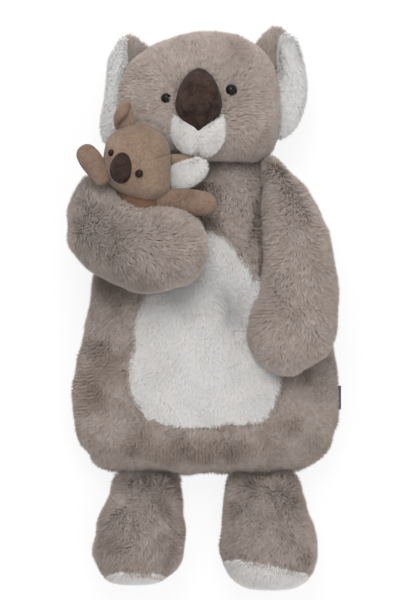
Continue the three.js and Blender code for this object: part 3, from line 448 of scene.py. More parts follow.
def rooted(grid, count, rng, keep, poles):
    """Roots spread evenly over a grid's area, with their outward normals. The areas of its cells,
    times the share of them that keep gives, are summed up; even steps along the sum pick a cell
    for each root, and two random shares place the root in it. Poles says which ends are closed."""
    normals = grid_normals(grid)
    for closed, end in zip(poles, (0, -1)):
        if closed:
            pole, out = (
                np.broadcast_to(field[end].mean(0), field[end].shape)[None] for field in (grid, normals)
            )
            grid = np.concatenate([pole, grid] if end == 0 else [grid, pole])
            normals = np.concatenate([out, normals] if end == 0 else [normals, out])
    normals = unit(normals)
    grid, normals = (np.concatenate([field, field[:, :1]], axis=1) for field in (grid, normals))
    along = grid[1:, :-1] - grid[:-1, :-1]
    around = grid[:, 1:] - grid[:, :-1]
    area = np.linalg.norm(np.cross(along, around[:-1] + around[1:]), axis=-1) / 2
    if keep is not None:
        area = area * keep(*((field[:-1, :-1] + field[1:, 1:]) / 2 for field in (grid, normals)))
    total = np.cumsum(area.ravel())
    cell = np.searchsorted(total, (np.arange(count) + rng.random(count)) / count * total[-1])
    row, column = np.divmod(np.minimum(cell, area.size - 1), area.shape[1])
    u, v = rng.random((2, count, 1))
    root, normal = (
        field[row, column] * (1 - u) * (1 - v)
        + field[row + 1, column] * u * (1 - v)
        + field[row, column + 1] * (1 - u) * v
        + field[row + 1, column + 1] * u * v
        for field in (grid, normals)
    )
    return root, unit(normal)


blade_rise = (0, 0, 0.55, 0.55, 1)
blade_print = ((0.2, 0.1), (0.8, 0.1), (0.8, 0.5), (0.2, 0.5), (0.2, 0.5), (0.8, 0.5), (0.5, 0.9))


def blade_mesh(name, points, tone, wear_and_shade, material):
    """A mesh of one quad and one tip triangle for each blade's five points. Each blade has a cell
    of its own in the UV map, and its points carry their rise from root to tip, the blade's tone
    and its wear with any painted shade, which the material reads."""
    count = len(points)
    mesh = bpy.data.meshes.new(name)
    mesh.vertices.add(5 * count)
    mesh.vertices.foreach_set("co", points.astype(np.float32).ravel())
    corners = 5 * np.arange(count)[:, None] + np.array([0, 1, 2, 3, 3, 2, 4])
    mesh.loops.add(7 * count)
    mesh.loops.foreach_set("vertex_index", corners.astype(np.int32).ravel())
    starts = 7 * np.arange(count)[:, None] + np.array([0, 4])
    mesh.polygons.add(2 * count)
    mesh.polygons.foreach_set("loop_start", starts.astype(np.int32).ravel())
    mesh.update(calc_edges=True)
    mesh.polygons.foreach_set("use_smooth", np.ones(2 * count, bool))
    cells = int(np.ceil(np.sqrt(count)))
    line, place = np.divmod(np.arange(count), cells)
    prints = (np.stack([place, line], -1)[:, None, :] + np.array(blade_print)) / cells
    mesh.uv_layers.new(name="OFBake").data.foreach_set("uv", prints.astype(np.float32).ravel())
    for label, values in (("rise", np.array([blade_rise])), ("tone", tone), ("wear_and_shade", wear_and_shade)):
        field = mesh.attributes.new(label, "FLOAT", "POINT")
        values = np.broadcast_to(values, (count, 5)).astype(np.float32)
        field.data.foreach_set("value", values.ravel())
    mesh.materials.append(material)
    return new_object(name, mesh)


# Whorls in the nap: for each direction, the axis that the wave runs along and its turn in each
# mm, how far the wave is bent, and the axis, turn and start of that bend.
whorls = ((1, 0.11, 1.3, 0, 0.07, 1), (0, 0.13, 1.7, 2, 0.09, 1), (2, 0.12, 1.1, 1, 0.08, -1))
stir_chance = 0.8
wall_droop, wall_lift, worn_lift = 0.9, 0.3, 0.35
length_spread, length_middle = 0.3, 0.6
width_spread, least_width_share = 0.5, 0.75
lean_spread = 7
root_depth, least_height = 0.8, 0.4
low_length, high_length, bend_width = 0.5, 0.55, 0.85
# Locks: the middle of each lies off its cell's by chance, from the fraction of a great multiple
# of a sine; tips keep more of their height than of their place when they are drawn to it.
lock_turns = np.array([(12.9, 78.2, 37.7), (93.9, 67.3, 21.1), (45.2, 11.8, 83.6)]).T
lock_stretch, lock_spread = 43758.5453, 0.8
height_kept, bend_drawn = 0.7, 0.3
lock_tone, blade_tone, wear_and_shade_tone, tone_stretch = 0.7, 0.3, 0.15, 0.37


def pile(
    name, grid, material, count, seed, length=8.0, width=0.72, lean=(44, 72), nap=(0, -1, 0), lock=3.6,
    gather=0.1, keep=None, stir=0.4, poles=(True, True), crush=0.0, tuft=0.5,
):
    """Blades of pile, in mm, rooted evenly over the grid. Each goes from its root to a bend and on
    to its tip, at the two angles of lean from the normal, in degrees, along the nap. The nap is a
    direction or a function, stirred by whorls and chance, drawn towards the floor on the walls and
    laid in the surface. Tips move by the share gather towards the middle of their lock, a cell of
    space of the size lock. Crush is how much wear the crushed places have, from 0 to 1, or a
    function that gives the wear for each root and may add painted shade to it; blades are darker
    by it, and tuft is how much more the pile gathers with it."""
    rng = np.random.default_rng(seed)
    root, normal = rooted(grid, count, rng, keep, poles)
    place = root / mm
    # How much wear each blade has; a function may add painted shade to it
    wear_and_shade = (crush(root) if callable(crush) else crush * crushed_places(place, seed))[:, None]
    flow = nap(root, normal) if callable(nap) else np.asarray(nap, float)
    swirl = np.stack(
        [
            np.sin(place[:, axis] * rate + bent * np.sin(place[:, other] * slow + start * seed))
            for axis, rate, bent, other, slow, start in whorls
        ],
        -1,
    )
    flow = flow + stir * swirl + stir * stir_chance * rng.normal(size=root.shape)
    wall = 1 - np.abs(normal[:, 2:3])
    flow = flow - wall_droop * wall * np.array([0, 0, 1])
    flow = unit(flow - (flow * normal).sum(-1, keepdims=True) * normal)
    size = length * mm * (1 + length_spread * (rng.random((count, 1)) - length_middle))
    upright = 1 - worn_lift * wear_and_shade - wall_lift * wall
    spread = rng.normal(0, lean_spread, (2, count, 1))
    low, high = np.radians(np.asarray(lean)[:, None, None] * upright + spread)
    bend = root + low_length * size * (np.cos(low) * normal + np.sin(low) * flow)
    tip = bend + high_length * size * (np.cos(high) * normal + np.sin(high) * flow)
    cell = np.floor(tip / (lock * mm))
    chance = np.sin(cell @ lock_turns) * lock_stretch
    middle = (cell + 0.5 + lock_spread * (chance - np.floor(chance) - 0.5)) * lock * mm
    pull = middle - tip
    pull = pull - (pull * normal).sum(-1, keepdims=True) * normal * height_kept
    gather = gather + tuft * wear_and_shade
    tip = tip + gather * pull
    bend = bend + gather * bend_drawn * pull
    half = 0.5 * width * mm * (least_width_share + width_spread * rng.random((count, 1)))
    side = unit(np.cross(tip - root, normal)) * half
    root = root - normal * root_depth * mm
    edge = side * bend_width
    points = np.stack([root - side, root + side, bend + edge, bend - edge, tip], 1)
    points[..., 2] = np.maximum(points[..., 2], least_height * mm)
    shade = (chance[:, :1] * tone_stretch) % 1.0
    # Blades are darker by their wear, and by painted shade given with it
    tone = (lock_tone * shade + blade_tone * rng.random((count, 1))) * (1 - wear_and_shade_tone * wear_and_shade)
    return blade_mesh(name, points, tone, wear_and_shade, material)


def own_place(look):
    """Object coordinates, in metres."""
    return look.node("ShaderNodeTexCoord", out="Object")


def noise(place, scale, detail, roughness):
    """Uneven values about 0.5, with this many waves in each metre and finer ones over them."""
    return place.node("ShaderNodeTexNoise", Vector=place, Scale=scale, Detail=detail, Roughness=roughness)


def times(colour, shares):
    """A colour with each part of it multiplied by its share."""
    return tuple(c * share for c, share in zip(colour, shares))


def uneven(middle, *layers):
    """The middle plus, for each layer, its value less 0.5 times its share; held from 0 to 1."""
    mix = middle
    for value, share in layers:
        mix = mix + (value - 0.5) * share
    return mix.clamped()


warm_light_shares, warm_mid_shares = (1.0, 0.965, 0.93), (0.98, 0.93, 0.87)
warmth_steepness, warmth_share = 4, 0.35
small_share, rise_power, wear_and_shade_rise = 0.7, 0.8, 0.7
pile_sheen_level = 1.6


def pile_material(name, deep, mid, light, patch=0.25, fine=0.5, bare=0.0):
    """Darker at the root, which is partly painted shade deep in the pile, and pale at the tip. Tips
    go from mid to light by the blade's tone, with the share fine, and by noise of two sizes, the
    broad one with twice the share patch; broad places are a little warmer. Where the pile has wear,
    and painted shade given with it, the base of the fibres shows, by the share bare."""
    material, shader, look = new_material(name)
    rise, tone, wear_and_shade = (
        look.node("ShaderNodeAttribute", out="Fac", settings={"attribute_name": label})
        for label in ("rise", "tone", "wear_and_shade")
    )
    place = own_place(look)
    broad = noise(place, scale=28.0, detail=3.0, roughness=0.6)
    small = noise(place, scale=170.0, detail=2.0, roughness=0.5)
    lift = uneven(0.5, (tone, fine), (broad, 2 * patch), (small, small_share))
    warmth = uneven(0.5, (broad, warmth_steepness)) * warmth_share
    warmer = lift.mixed(times(mid, warm_mid_shares), times(light, warm_light_shares))
    tips = warmth.mixed(lift.mixed(mid, light), warmer)
    # Darker towards the root: partly painted shade deep in the pile
    blade = (rise**rise_power).mixed(deep, tips)
    # The base of the fibres shows by wear, and by painted shade given with it
    shown = (wear_and_shade * bare).mixed(blade, (rise * wear_and_shade_rise).mixed(deep, mid))
    sheen = tuple(min(1, c * pile_sheen_level) for c in light)
    feed(
        shader, Base_Color=shown, Roughness=0.92, Specular_IOR_Level=0.12, Sheen_Weight=0.3,
        Sheen_Roughness=0.5, Sheen_Tint=sheen,
    )
    return material


def cloth_material(name, colour, deep):
    """The knitted backing under a pile: fine noise in its colour and height, with broad mottles."""
    material, shader, look = new_material(name)
    place = own_place(look)
    grain = noise(place, scale=900.0, detail=4.0, roughness=0.65)
    broad = noise(place, scale=45.0, detail=3.0, roughness=0.6)
    mix = uneven(0.5, (grain, 1.4), (broad, 0.8))
    normal = look.node("ShaderNodeBump", Height=grain, Distance=0.0006, Strength=0.8)
    feed(
        shader, Base_Color=mix.mixed(deep, colour), Roughness=0.9, Normal=normal,
        Specular_IOR_Level=0.2, Sheen_Weight=0.2,
    )
    return material


taupe_pile = pile_material(
    "taupe_pile", deep=(0.262, 0.202, 0.167), mid=(0.34, 0.272, 0.23), light=(0.545, 0.494, 0.468),
    patch=0.3, fine=0.65, bare=0.65,
)
taupe_cloth = cloth_material("taupe_cloth", colour=(0.32, 0.27, 0.24), deep=(0.2, 0.165, 0.145))

arm_seam = [(57, 146), (56, 120), (54, 96), (53, 80), (57, 66), (60, 50), (58, 36), (55, 24)]
torso_grid = stuffed(
    torso_stations, rows=150, around=200, seam=torso_seam, back=3.0, press=3.0, inset=skin_depth,
    ends=(0.3, 1),
)
torso_grid = stuffing(torso_grid, seed=5, depth=1.8, size=75.0)
torso_grid = hand_hollow(sew_groove(torso_grid, arm_seam, depth=8.0, width=3.5))
torso_grid[..., 2] = np.maximum(torso_grid[..., 2], back_depth * mm)

# The belly patch lies on the front, so the skin is lower there and has no pile
patch_middle = (0, -21)
patch_half = (76, 100)
patch_outline = [
    (0.04, 1), (0.3, 0.9), (0.51, 0.7), (0.68, 0.5), (0.82, 0.25), (0.92, -0.05), (0.98, -0.42),
    (0.94, -0.75), (0.8, -0.9), (0.5, -0.98), (0.1, -1), (-0.5, -0.99), (-0.82, -0.9), (-0.95, -0.72),
    (-1, -0.46), (-0.95, -0.15), (-0.86, 0.15), (-0.72, 0.5), (-0.45, 0.82), (-0.2, 0.96),
]
patch_edge = closed_curve(patch_outline, count=240) * patch_half + patch_middle
patch_bed, patch_bed_share, patch_bare_share, patch_level = 5.0, 0.95, 0.975, 40
bed = inside_share(patch_edge, patch_middle, patch_bed_share, torso_grid)
torso_grid[..., 2] -= patch_bed * mm * (bed & (torso_grid[..., 2] > patch_level * mm))
torso_skin = skin("torso_skin", torso_grid, taupe_cloth)

zip_middle, zip_low, zip_high = -4.0, -118.0, 112.0
zip_clear, zip_end_clear = 10, 8
belt_line, side_line = -30, 20


def torso_keep(part):
    """Keeps the pile of one part of the torso, and none under the patch or over the zip."""

    def keep(points, normals):
        x, y = local(points)
        up = points[..., 2] / mm
        patch = inside_share(patch_edge, patch_middle, patch_bare_share, points) & (up > patch_level)
        zip_band = (np.abs(x - zip_middle) < zip_clear) & (up < side_line)
        zip_band &= (y > zip_low - zip_end_clear) & (y < zip_high + zip_end_clear)
        front, upper = up > side_line, points[..., 1] / mm > belt_line
        here = {"upper": front & upper, "lower": front & ~upper, "back": ~front}[part]
        return np.where(patch | zip_band, 0.0, 1.0) * here

    return keep


def nap_down(outwards, middle=0):
    """A nap that runs down, and outwards by a share for each mm from an upright middle line."""

    def nap(points, normals):
        x = local(points)[0]
        return np.stack([(x - middle) * outwards, -np.ones_like(x), np.zeros_like(x)], -1)

    return nap


torso_pieces = [torso_skin]
for part, how in {
    "upper": dict(count=50000, seed=11, crush=0.8),
    "lower": dict(count=56000, seed=12, crush=0.9, stir=0.6),
    "back": dict(count=40000, seed=13, crush=0.4),
}.items():
    how.update(keep=torso_keep(part), nap=nap_down(outwards=0.004))
    torso_pieces.append(pile(f"{part}_pile", torso_grid, taupe_pile, **how))
for made in torso_pieces:
    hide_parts("torso_front", "back_panel_left", "back_panel_right")
    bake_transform(made)


# Belly patch: a white plush panel sewn on the front of the cover. Its nap runs down and a little
# to both sides; the front is lumpy under it, and in the hollow beside the left hand the pile is
# crushed and greyed with painted shade.
def belongs(pieces, node, body):
    """Ties soft pieces to the CAD: hides the node they are seen for and ties them to the body that
    they move with."""
    for made in pieces:
        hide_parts(node)
        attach(made, body)


def plush(part, grid, cloth, fur, node, slot, fill, body, end="", **how):
    """A plush piece: one grid's skin and its pile, tied to the CAD. Their names have the same end."""
    cover = skin(f"{part}_skin{end}", grid, cloth)
    belongs((cover, pile(f"{part}_pile{end}", grid, fur, **how)), node, body)


patch_rows, patch_back_rows = 50, 25
patch_sink, patch_thickness = 4.0, 1.5
patch_roll, patch_roll_from = 1.2, 0.96
patch_core = 0.04
lump_height, broad_lump, lump_bend, lump_start = 1.1, (12, 14), (1.2, 19), 0.8
small_lump, small_lump_share = (7, 9), 0.6
seam_margin = 3.2
# The hollow beside the left hand is greyed with painted shade over crushed pile: its middle, size and slant,
# and its share
hollow_shade_at, hollow_shade_size, hollow_shade_slant = (25, 4), (15, 29), 0.25
hollow_shade_share, patch_wear_share, patch_seed = 1.1, 0.2, 14
white_cloth = cloth_material("white_cloth", colour=(0.75, 0.74, 0.73), deep=(0.55, 0.54, 0.53))
white_pile = pile_material(
    "white_pile", deep=(0.52, 0.508, 0.50), mid=(0.68, 0.67, 0.66), light=(0.80, 0.79, 0.78),
    patch=0.12, fine=0.28, bare=0.9,
)


def patch_rings():
    """Rings of the patch's edge, shrunk about its middle, out over the front and back beneath.
    They lie a sink below the height of the torso's front, with the edge rolled down. Lumps, a
    product of two sines and a share of a smaller third, lift and lower them."""
    out, back = np.linspace(patch_core, 1, patch_rows), np.linspace(1, patch_core, patch_back_rows)
    share = np.concatenate([out, back])[:, None]
    plan = (patch_edge - patch_middle)[None] * share[..., None] + patch_middle
    x, y = plan[..., 0], plan[..., 1]
    bent = x / broad_lump[0] + lump_bend[0] * np.sin(y / lump_bend[1])
    broad = np.sin(bent) * np.sin(y / broad_lump[1] + lump_start)
    lumps = broad + small_lump_share * np.sin(x / small_lump[0] + y / small_lump[1])
    height = front_of(torso_stations, x, y, torso_seam) + lump_height * lumps
    under = np.repeat([0, patch_thickness], [patch_rows, patch_back_rows])[:, None]
    roll = patch_roll * np.clip((share - patch_roll_from) / (1 - patch_roll_from), 0, 1)
    return placed(np.stack([x, y, height - (patch_sink + under) - roll], -1))


def patch_keep(points, normals):
    """Only the upper face carries pile, and its tips end at the lower edge's seam."""
    upper = np.arange(len(points))[:, None] < patch_rows
    x, y = local(points)
    return np.where(upper & inside_of(patch_edge, x, y - seam_margin), 1.0, 0.0)


def patch_wear_and_hollow_shade(root):
    """Painted shade, with crushed pile, in the hollow beside the left hand, by a slanting bell curve,
    and a little wear over the whole patch."""
    across, along = (place - middle for place, middle in zip(local(root), hollow_shade_at))
    across = (across + hollow_shade_slant * along) / hollow_shade_size[0]
    hollow = np.exp(-(across**2) - (along / hollow_shade_size[1]) ** 2)
    crushed = crushed_places(root / mm, patch_seed)
    return np.clip(hollow_shade_share * hollow + patch_wear_share * crushed, 0, 1)


plush(
    "patch", hand_hollow(patch_rings()), white_cloth, white_pile, node="belly_patch", slot="white_plush",
    fill=0.6, body="torso", count=44000, seed=patch_seed, length=6.2, width=0.66, lean=(50, 76),
    keep=patch_keep, nap=nap_down(outwards=0.008), lock=4.2, gather=0.05, crush=patch_wear_and_hollow_shade, tuft=0.03,
)


# Head: a stuffed plush form, fullest at the cheeks and sewn to the cover at the neck. The nap
# runs away from the nose on the face, down the sides and towards the neck behind.
head_seam = 0.4
head_stations = [
    (146, -38, 34.3, 26, 50), (148, -60, 52.8, 14, 66), (153, -74, 65, 6, 84), (161, -82, 70.4, 0, 96),
    (172, -87, 74, 0, 104), (185, -89, 77, 0, 108), (199, -90, 78, 0, 108), (213, -89, 78, 0, 106),
    (227, -86, 75, 0, 102), (241, -78, 70, 2, 95), (253, -66, 62, 8, 85), (263, -49, 50, 16, 74),
    (271, -26, 35, 26, 62), (276, -9, 20, 36, 52),
]
head_grid = stuffed(head_stations, rows=72, around=96, seam=head_seam, press=3.0, inset=skin_depth)
head_grid = stuffing(head_grid, seed=6, depth=1.2, size=60.0)

# The nose and the muzzle lie on the face, which is bare under them
nose_at, nose_half = (-6.3, 204.6), (23.4, 31.7)
nose_outline = [
    (0.0, 1), (-0.43, 0.83), (-0.75, 0.52), (-0.93, 0.16), (-1, -0.19), (-0.87, -0.5), (-0.56, -0.75),
    (-0.19, -0.93), (0, -1), (0.19, -0.93), (0.56, -0.73), (0.87, -0.5), (0.98, -0.19), (0.93, 0.13),
    (0.75, 0.52), (0.43, 0.84),
]
muzzle_at, muzzle_bed_half = (-7.0, 173.0), (25, 21.5)
muzzle_outline = [
    (0.02, 0.37), (-0.36, 0.63), (-0.92, 0.95), (-1, 0.37), (-0.96, -0.09), (-0.76, -0.56), (-0.44, -0.88),
    (-0.16, -0.95), (0.04, -0.81), (0.28, -1), (0.6, -0.84), (0.84, -0.47), (0.98, 0.09), (1, 0.65),
    (0.96, 1), (0.52, 0.7),
]
nose_edge = closed_curve(nose_outline, count=64) * nose_half + nose_at
muzzle_bed = closed_curve(muzzle_outline, count=64) * muzzle_bed_half + muzzle_at
nose_bare_share, muzzle_bare_share, face_level = 0.93, 0.9, 50
nap_parting = np.array([nose_at[0], 190.0, 0])
face_nap, side_nap, nape_nap = np.array([(0, -0.15, 0), (0, -0.3, -1), (0, -1, 0)])
face_from, face_span, nape_from, nape_span = 55, 30, 30, 20


def head_keep(points, normals):
    """No pile under the nose and the muzzle."""
    bare = inside_share(nose_edge, nose_at, nose_bare_share, points)
    bare |= inside_share(muzzle_bed, muzzle_at, muzzle_bare_share, points)
    return np.where(bare & (points[..., 2] / mm > face_level), 0.0, 1.0)


def head_nap(points, normals):
    """On the face, away from a point below the nose's middle; down the sides; on the back of the
    head, towards the neck. Between them by straight shares of the height."""
    x, y = local(points)
    height = points[..., 2:3] / mm
    away = unit(np.stack([x, y, np.zeros_like(x)], -1) - nap_parting) + face_nap
    face = np.clip((height - face_from) / face_span, 0, 1)
    nape = np.clip((nape_from - height) / nape_span, 0, 1)
    return face * away + (1 - face - nape) * side_nap + nape * nape_nap


plush(
    "head", head_grid, taupe_cloth, taupe_pile, node="head", slot="plush", fill=0.8, body="head",
    count=64000, seed=21, keep=head_keep, nap=head_nap, length=7.0, crush=0.35,
)


# Nose: an egg of brown suede over wadding, sewn to the face all round its edge, where the
# stitches draw a shallow ring.
pillow_swell = 2.4


def pillow(outline, size, front, back, at, tilt=(0, 0, 0), layers=26, around=64):
    """Rings from a back pole to a front pole: each is the outline, drawn in by the cosine and
    lifted by the sine of the layer's angle, both rounded by swell; then tilted about x, y, z."""
    edge = closed_curve(np.asarray(outline) * size, around)
    angle = np.linspace(-np.pi / 2, np.pi / 2, layers + 2)[1:-1, None]
    share = signed_power(np.cos(angle), pillow_swell)
    up = signed_power(np.sin(angle), pillow_swell) * np.where(angle > 0, front, back)
    grid = np.stack([edge[:, 0] * share, edge[:, 1] * share, np.broadcast_to(up, (layers, around))], -1)
    (cx, cy, cz), (sx, sy, sz) = np.cos(tilt), np.sin(tilt)
    turn_x = np.array([[1, 0, 0], [0, cx, -sx], [0, sx, cx]])
    turn_y = np.array([[cy, 0, sy], [0, 1, 0], [-sy, 0, cy]])
    turn_z = np.array([[cz, -sz, 0], [sz, cz, 0], [0, 0, 1]])
    return placed(grid @ (turn_x @ turn_y @ turn_z).T + np.asarray(at, float))


def suede_material(name, deep, light):
    """Brushed leather: a fine short nap and a soft mottle in its colour and height."""
    material, shader, look = new_material(name)
    place = own_place(look)
    grain = noise(place, scale=1500.0, detail=5.0, roughness=0.7)
    mottle = noise(place, scale=75.0, detail=5.0, roughness=0.7)
    mix = uneven(0.45, (grain, 1.8), (mottle, 2.6))
    normal = look.node("ShaderNodeBump", Height=grain + mottle * 0.5, Distance=0.0004, Strength=0.7)
    feed(
        shader, Base_Color=mix.mixed(deep, light), Roughness=0.85, Normal=normal,
        Specular_IOR_Level=0.12, Sheen_Weight=0.04, Sheen_Roughness=0.5,
    )
    return material


brown_suede = suede_material("brown_suede", deep=(0.011, 0.0063, 0.005), light=(0.062, 0.037, 0.029))
nose_layers, nose_sink, nose_front, nose_back = 60, 6.5, 20, 8
ring_share, ring_width, ring_depth = 0.88, 0.03, 1.1
nose_level = front_at(head_stations, nose_at, head_seam) - nose_sink
nose_grid = pillow(
    nose_outline, nose_half, nose_front, nose_back, (*nose_at, nose_level), layers=nose_layers, around=120
)
nose_out = np.linalg.norm((np.stack(local(nose_grid), -1) - nose_at) / nose_half, axis=-1)
ring = np.exp(-(((nose_out - ring_share) / ring_width) ** 2))
nose_grid[..., 2] -= ring_depth * mm * ring * (np.arange(nose_layers)[:, None] > nose_layers // 2)
nose_pad = skin("nose_pad", nose_grid, brown_suede)
belongs((nose_pad,), "nose", body="head")


# Muzzle: a white plush pad below the nose, stuffed lightly and drawn in by a seam down its
# middle that makes two lobes of it.
muzzle_half, muzzle_sink, muzzle_front, muzzle_back = (22.5, 19), 7.8, 12.5, 6
muzzle_seam = [(-6.5, 180), (-6.5, 152)]
muzzle_turn, lobe_nap = -0.1, 0.3
muzzle_level = front_at(head_stations, muzzle_at, head_seam) - muzzle_sink
muzzle_grid = pillow(
    muzzle_outline, muzzle_half, muzzle_front, muzzle_back, (*muzzle_at, muzzle_level), layers=20
)
muzzle_grid = sew_groove(muzzle_grid, muzzle_seam, depth=3.0, width=2.2)


def muzzle_keep(points, normals):
    """Pile down to where the pad turns under, clear of the nose."""
    under_nose = inside_of(nose_edge, *local(points))
    return np.where((normals[..., 2] > muzzle_turn) & ~under_nose, 1.0, 0.0)


def muzzle_nap(points, normals):
    """Down, and away from the seam between the lobes."""
    x = local(points)[0]
    return np.stack([lobe_nap * np.sign(x - muzzle_at[0]), -np.ones_like(x), np.zeros_like(x)], -1)


plush(
    "muzzle", muzzle_grid, white_cloth, white_pile, node="muzzle", slot="white_plush", fill=0.8,
    body="head", count=8000, seed=22, length=7.5, width=0.7, lean=(30, 60), keep=muzzle_keep,
    nap=muzzle_nap, lock=4.4, gather=0.12, stir=0.7,
)


# Eyes: black plastic domes, each with a shank through the cloth and a white washer pressed on
# the shank inside the head. The pile closes over their rims, more over the right one's.
def plastic_material(name, colour, roughness, gloss):
    """Moulded plastic: noise lightens the colour and dulls the gloss a little here and there."""
    material, shader, look = new_material(name)
    smear = noise(own_place(look), scale=220.0, detail=3.0, roughness=0.6)
    lighter = tuple(min(1, c * 1.5 + 0.004) for c in colour)
    feed(
        shader, Base_Color=smear.mixed(colour, lighter), Roughness=smear * 0.15 + roughness,
        Specular_IOR_Level=gloss,
    )
    return material


def dome(name, spot, level, radius, material, rows=20, around=32):
    """A ball of the radius given, by latitude and longitude, with its middle at the level."""
    angle = np.linspace(-np.pi / 2, np.pi / 2, rows + 2)[1:-1, None]
    turn = np.linspace(0, 2 * np.pi, around, endpoint=False)[None]
    ball = np.stack(
        [np.cos(angle) * np.cos(turn), np.cos(angle) * np.sin(turn), np.sin(angle) * np.ones_like(turn)], -1
    )
    return skin(name, placed(radius * ball + np.array([*spot, level])), material)


def coat(node, material):
    """Gives a CAD node's own mesh a finish."""
    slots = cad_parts[node].data.materials
    slots.clear()
    slots.append(material)


eye_plastic = plastic_material("eye_plastic", (0.004, 0.0035, 0.0035), roughness=0.12, gloss=0.16)
washer_plastic = plastic_material("washer_plastic", (0.62, 0.62, 0.60), roughness=0.4, gloss=0.5)
eye_radius = 6.2
for side, spot, sink in (("left", (25.6, 214.2), 3.4), ("right", (-38.3, 206.2), 5.4)):
    eye_level = front_at(head_stations, spot, head_seam) - sink
    eye = dome(f"eye_dome_{side}", spot, eye_level, eye_radius, eye_plastic)
    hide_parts(f"eye_{side}")
    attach(eye, "head")
    coat(f"eye_washer_{side}", washer_plastic)


# Ears: each a flat padded back in the body's plush with a long-haired white lining on its front,
# turned through together and sewn to the head along its lower edge.
# A darker copy of the white pile for the ear linings: painted shade on the linings
shaded_ear_white = pile_material(
    "shaded_ear_white", deep=(0.47, 0.468, 0.464), mid=(0.60, 0.597, 0.592), light=(0.70, 0.697, 0.692), patch=0.1,
    fine=0.3,
)
# Each ear's and lining's outline, its half width and height, and its middle
ears = {
    "left": (
        [
            (-1, 0.32), (-0.84, -0.05), (-0.67, -0.62), (-0.31, -1), (0.18, -0.96), (0.63, -0.77),
            (0.92, -0.44), (1, -0.08), (0.84, 0.39), (0.55, 0.75), (0.31, 0.91), (0.02, 1), (-0.27, 0.95),
            (-0.59, 0.82), (-0.96, 0.6),
        ],
        (21.5, 51.5), (72.5, 229.15, 32),
    ),
    "right": (
        [
            (-0.44, 0.79), (-0.64, 0.49), (-0.72, 0.13), (-0.84, -0.28), (-1, -0.64), (-0.96, -0.91),
            (-0.72, -1), (-0.16, -0.83), (0.32, -0.49), (0.72, -0.11), (0.96, 0.26), (1, 0.62),
            (0.44, 0.83), (-0.12, 1),
        ],
        (22, 49), (-74, 223, 32),
    ),
}
ear_linings = {
    "left": (
        [
            (-0.37, 0.79), (-0.42, 0.61), (-0.37, 0.27), (-0.53, -0.01), (-0.89, -0.38), (-1, -0.81),
            (-0.53, -1), (0.11, -0.87), (0.58, -0.66), (0.89, -0.36), (1, 0.01), (0.79, 0.5), (0.53, 0.85),
            (0.11, 1), (-0.26, 0.98),
        ],
        (17, 50.5), (83, 222.5, 45),
    ),
    "right": (
        [
            (0.49, 1), (0.05, 0.8), (-0.4, 0.58), (-0.56, 0.2), (-0.71, -0.2), (-0.97, -0.53), (-1, -0.8),
            (-0.71, -1), (-0.21, -0.91), (0.3, -0.67), (0.81, -0.33), (1, -0.07), (0.87, 0.11),
            (0.62, 0.29), (0.49, 0.58), (0.43, 0.8),
        ],
        (13.8, 52), (-88.8, 219, 45),
    ),
}
for side, outwards, seed in (("left", 1, 31), ("right", -1, 41)):
    outline, size, at = ears[side]
    ear_grid = pillow(outline, size, front=6, back=8, at=at, layers=22, around=72)
    plush(
        "ear", ear_grid, taupe_cloth, taupe_pile, node=f"ear_{side}", slot="plush", fill=0.5, body="head",
        end=f"_{side}", count=10000, seed=seed, length=6.5, width=0.8, lean=(50, 76),
        nap=(0.2 * outwards, 0.8, -0.2), gather=0.15,
    )
    outline, size, at = ear_linings[side]
    lining_grid = pillow(outline, size, front=7.5, back=4, at=at, layers=18)
    plush(
        "lining", lining_grid, white_cloth, shaded_ear_white, node=f"ear_lining_{side}", slot="white_plush",
        fill=0.5, body="head", end=f"_{side}", count=11000, seed=seed + 1, length=6.0, width=0.8,
        lean=(52, 78), nap=(0.25 * outwards, -1, 0.1), lock=4.0, gather=0.12,
    )


# Arms: stuffed plush limbs sewn in at the shoulders. The left one hangs down over the side of
# the belly patch; the right one is bent across the chest round the young koala.
arm_seam_share, arm_back_power = 0.5, 2.2
left_arm_stations = [
    (-66, 78, 86, 84, 90), (-63, 68, 95, 70, 99), (-57, 56, 104, 62, 104), (-45, 45, 121, 52, 113),
    (-32, 41, 130, 46, 118), (-11, 42, 132, 42, 121), (7, 51, 133, 40, 120), (24, 55, 133, 38, 118),
    (47, 57, 129, 36, 115), (73, 56, 125, 34, 110), (101, 56, 112, 32, 101), (121, 57, 98, 32, 90),
    (137, 58, 82, 32, 76), (147, 59, 71, 36, 62), (151, 61, 67, 42, 52),
]
right_arm_stations = [
    (-136.5, 75, 89, 62, 72), (-134, 62, 102, 50, 84), (-128, 51, 118, 38, 98), (-118, 40, 132, 30, 110),
    (-106, 31, 130, 30, 120), (-94, 24, 125, 34, 127), (-82, 19, 117, 40, 133), (-68, 15, 110, 46, 138),
    (-54, 13, 105, 52, 141), (-38, 16, 102, 58, 143), (-22, 21, 97, 64, 142), (-10, 29, 88, 72, 137),
    (-3, 41, 76, 86, 126), (0, 53, 65, 98, 112),
]
arm_sink, arm_least_depth = 2.0, 8
right_arm_middle, right_arm_outwards = 74, 0.025


def rested(grid):
    """Lifts the points that would lie deeper than the sink in the torso's front up to there, but
    never nearer than a least depth to the top of their own ring."""
    top = front_of(torso_stations, *local(grid), torso_seam)
    level = np.where(np.isnan(top), -np.inf, top - arm_sink)
    crown = grid[..., 2].max(axis=1, keepdims=True) / mm
    grid[..., 2] = np.maximum(grid[..., 2] / mm, np.minimum(level, crown - arm_least_depth)) * mm
    return grid


def right_arm_nap(points, normals):
    """Along the arm towards the hand, and away from its middle line."""
    y = local(points)[1]
    out = (y - right_arm_middle) * right_arm_outwards
    return np.stack([np.ones_like(y), out, np.zeros_like(y)], -1)


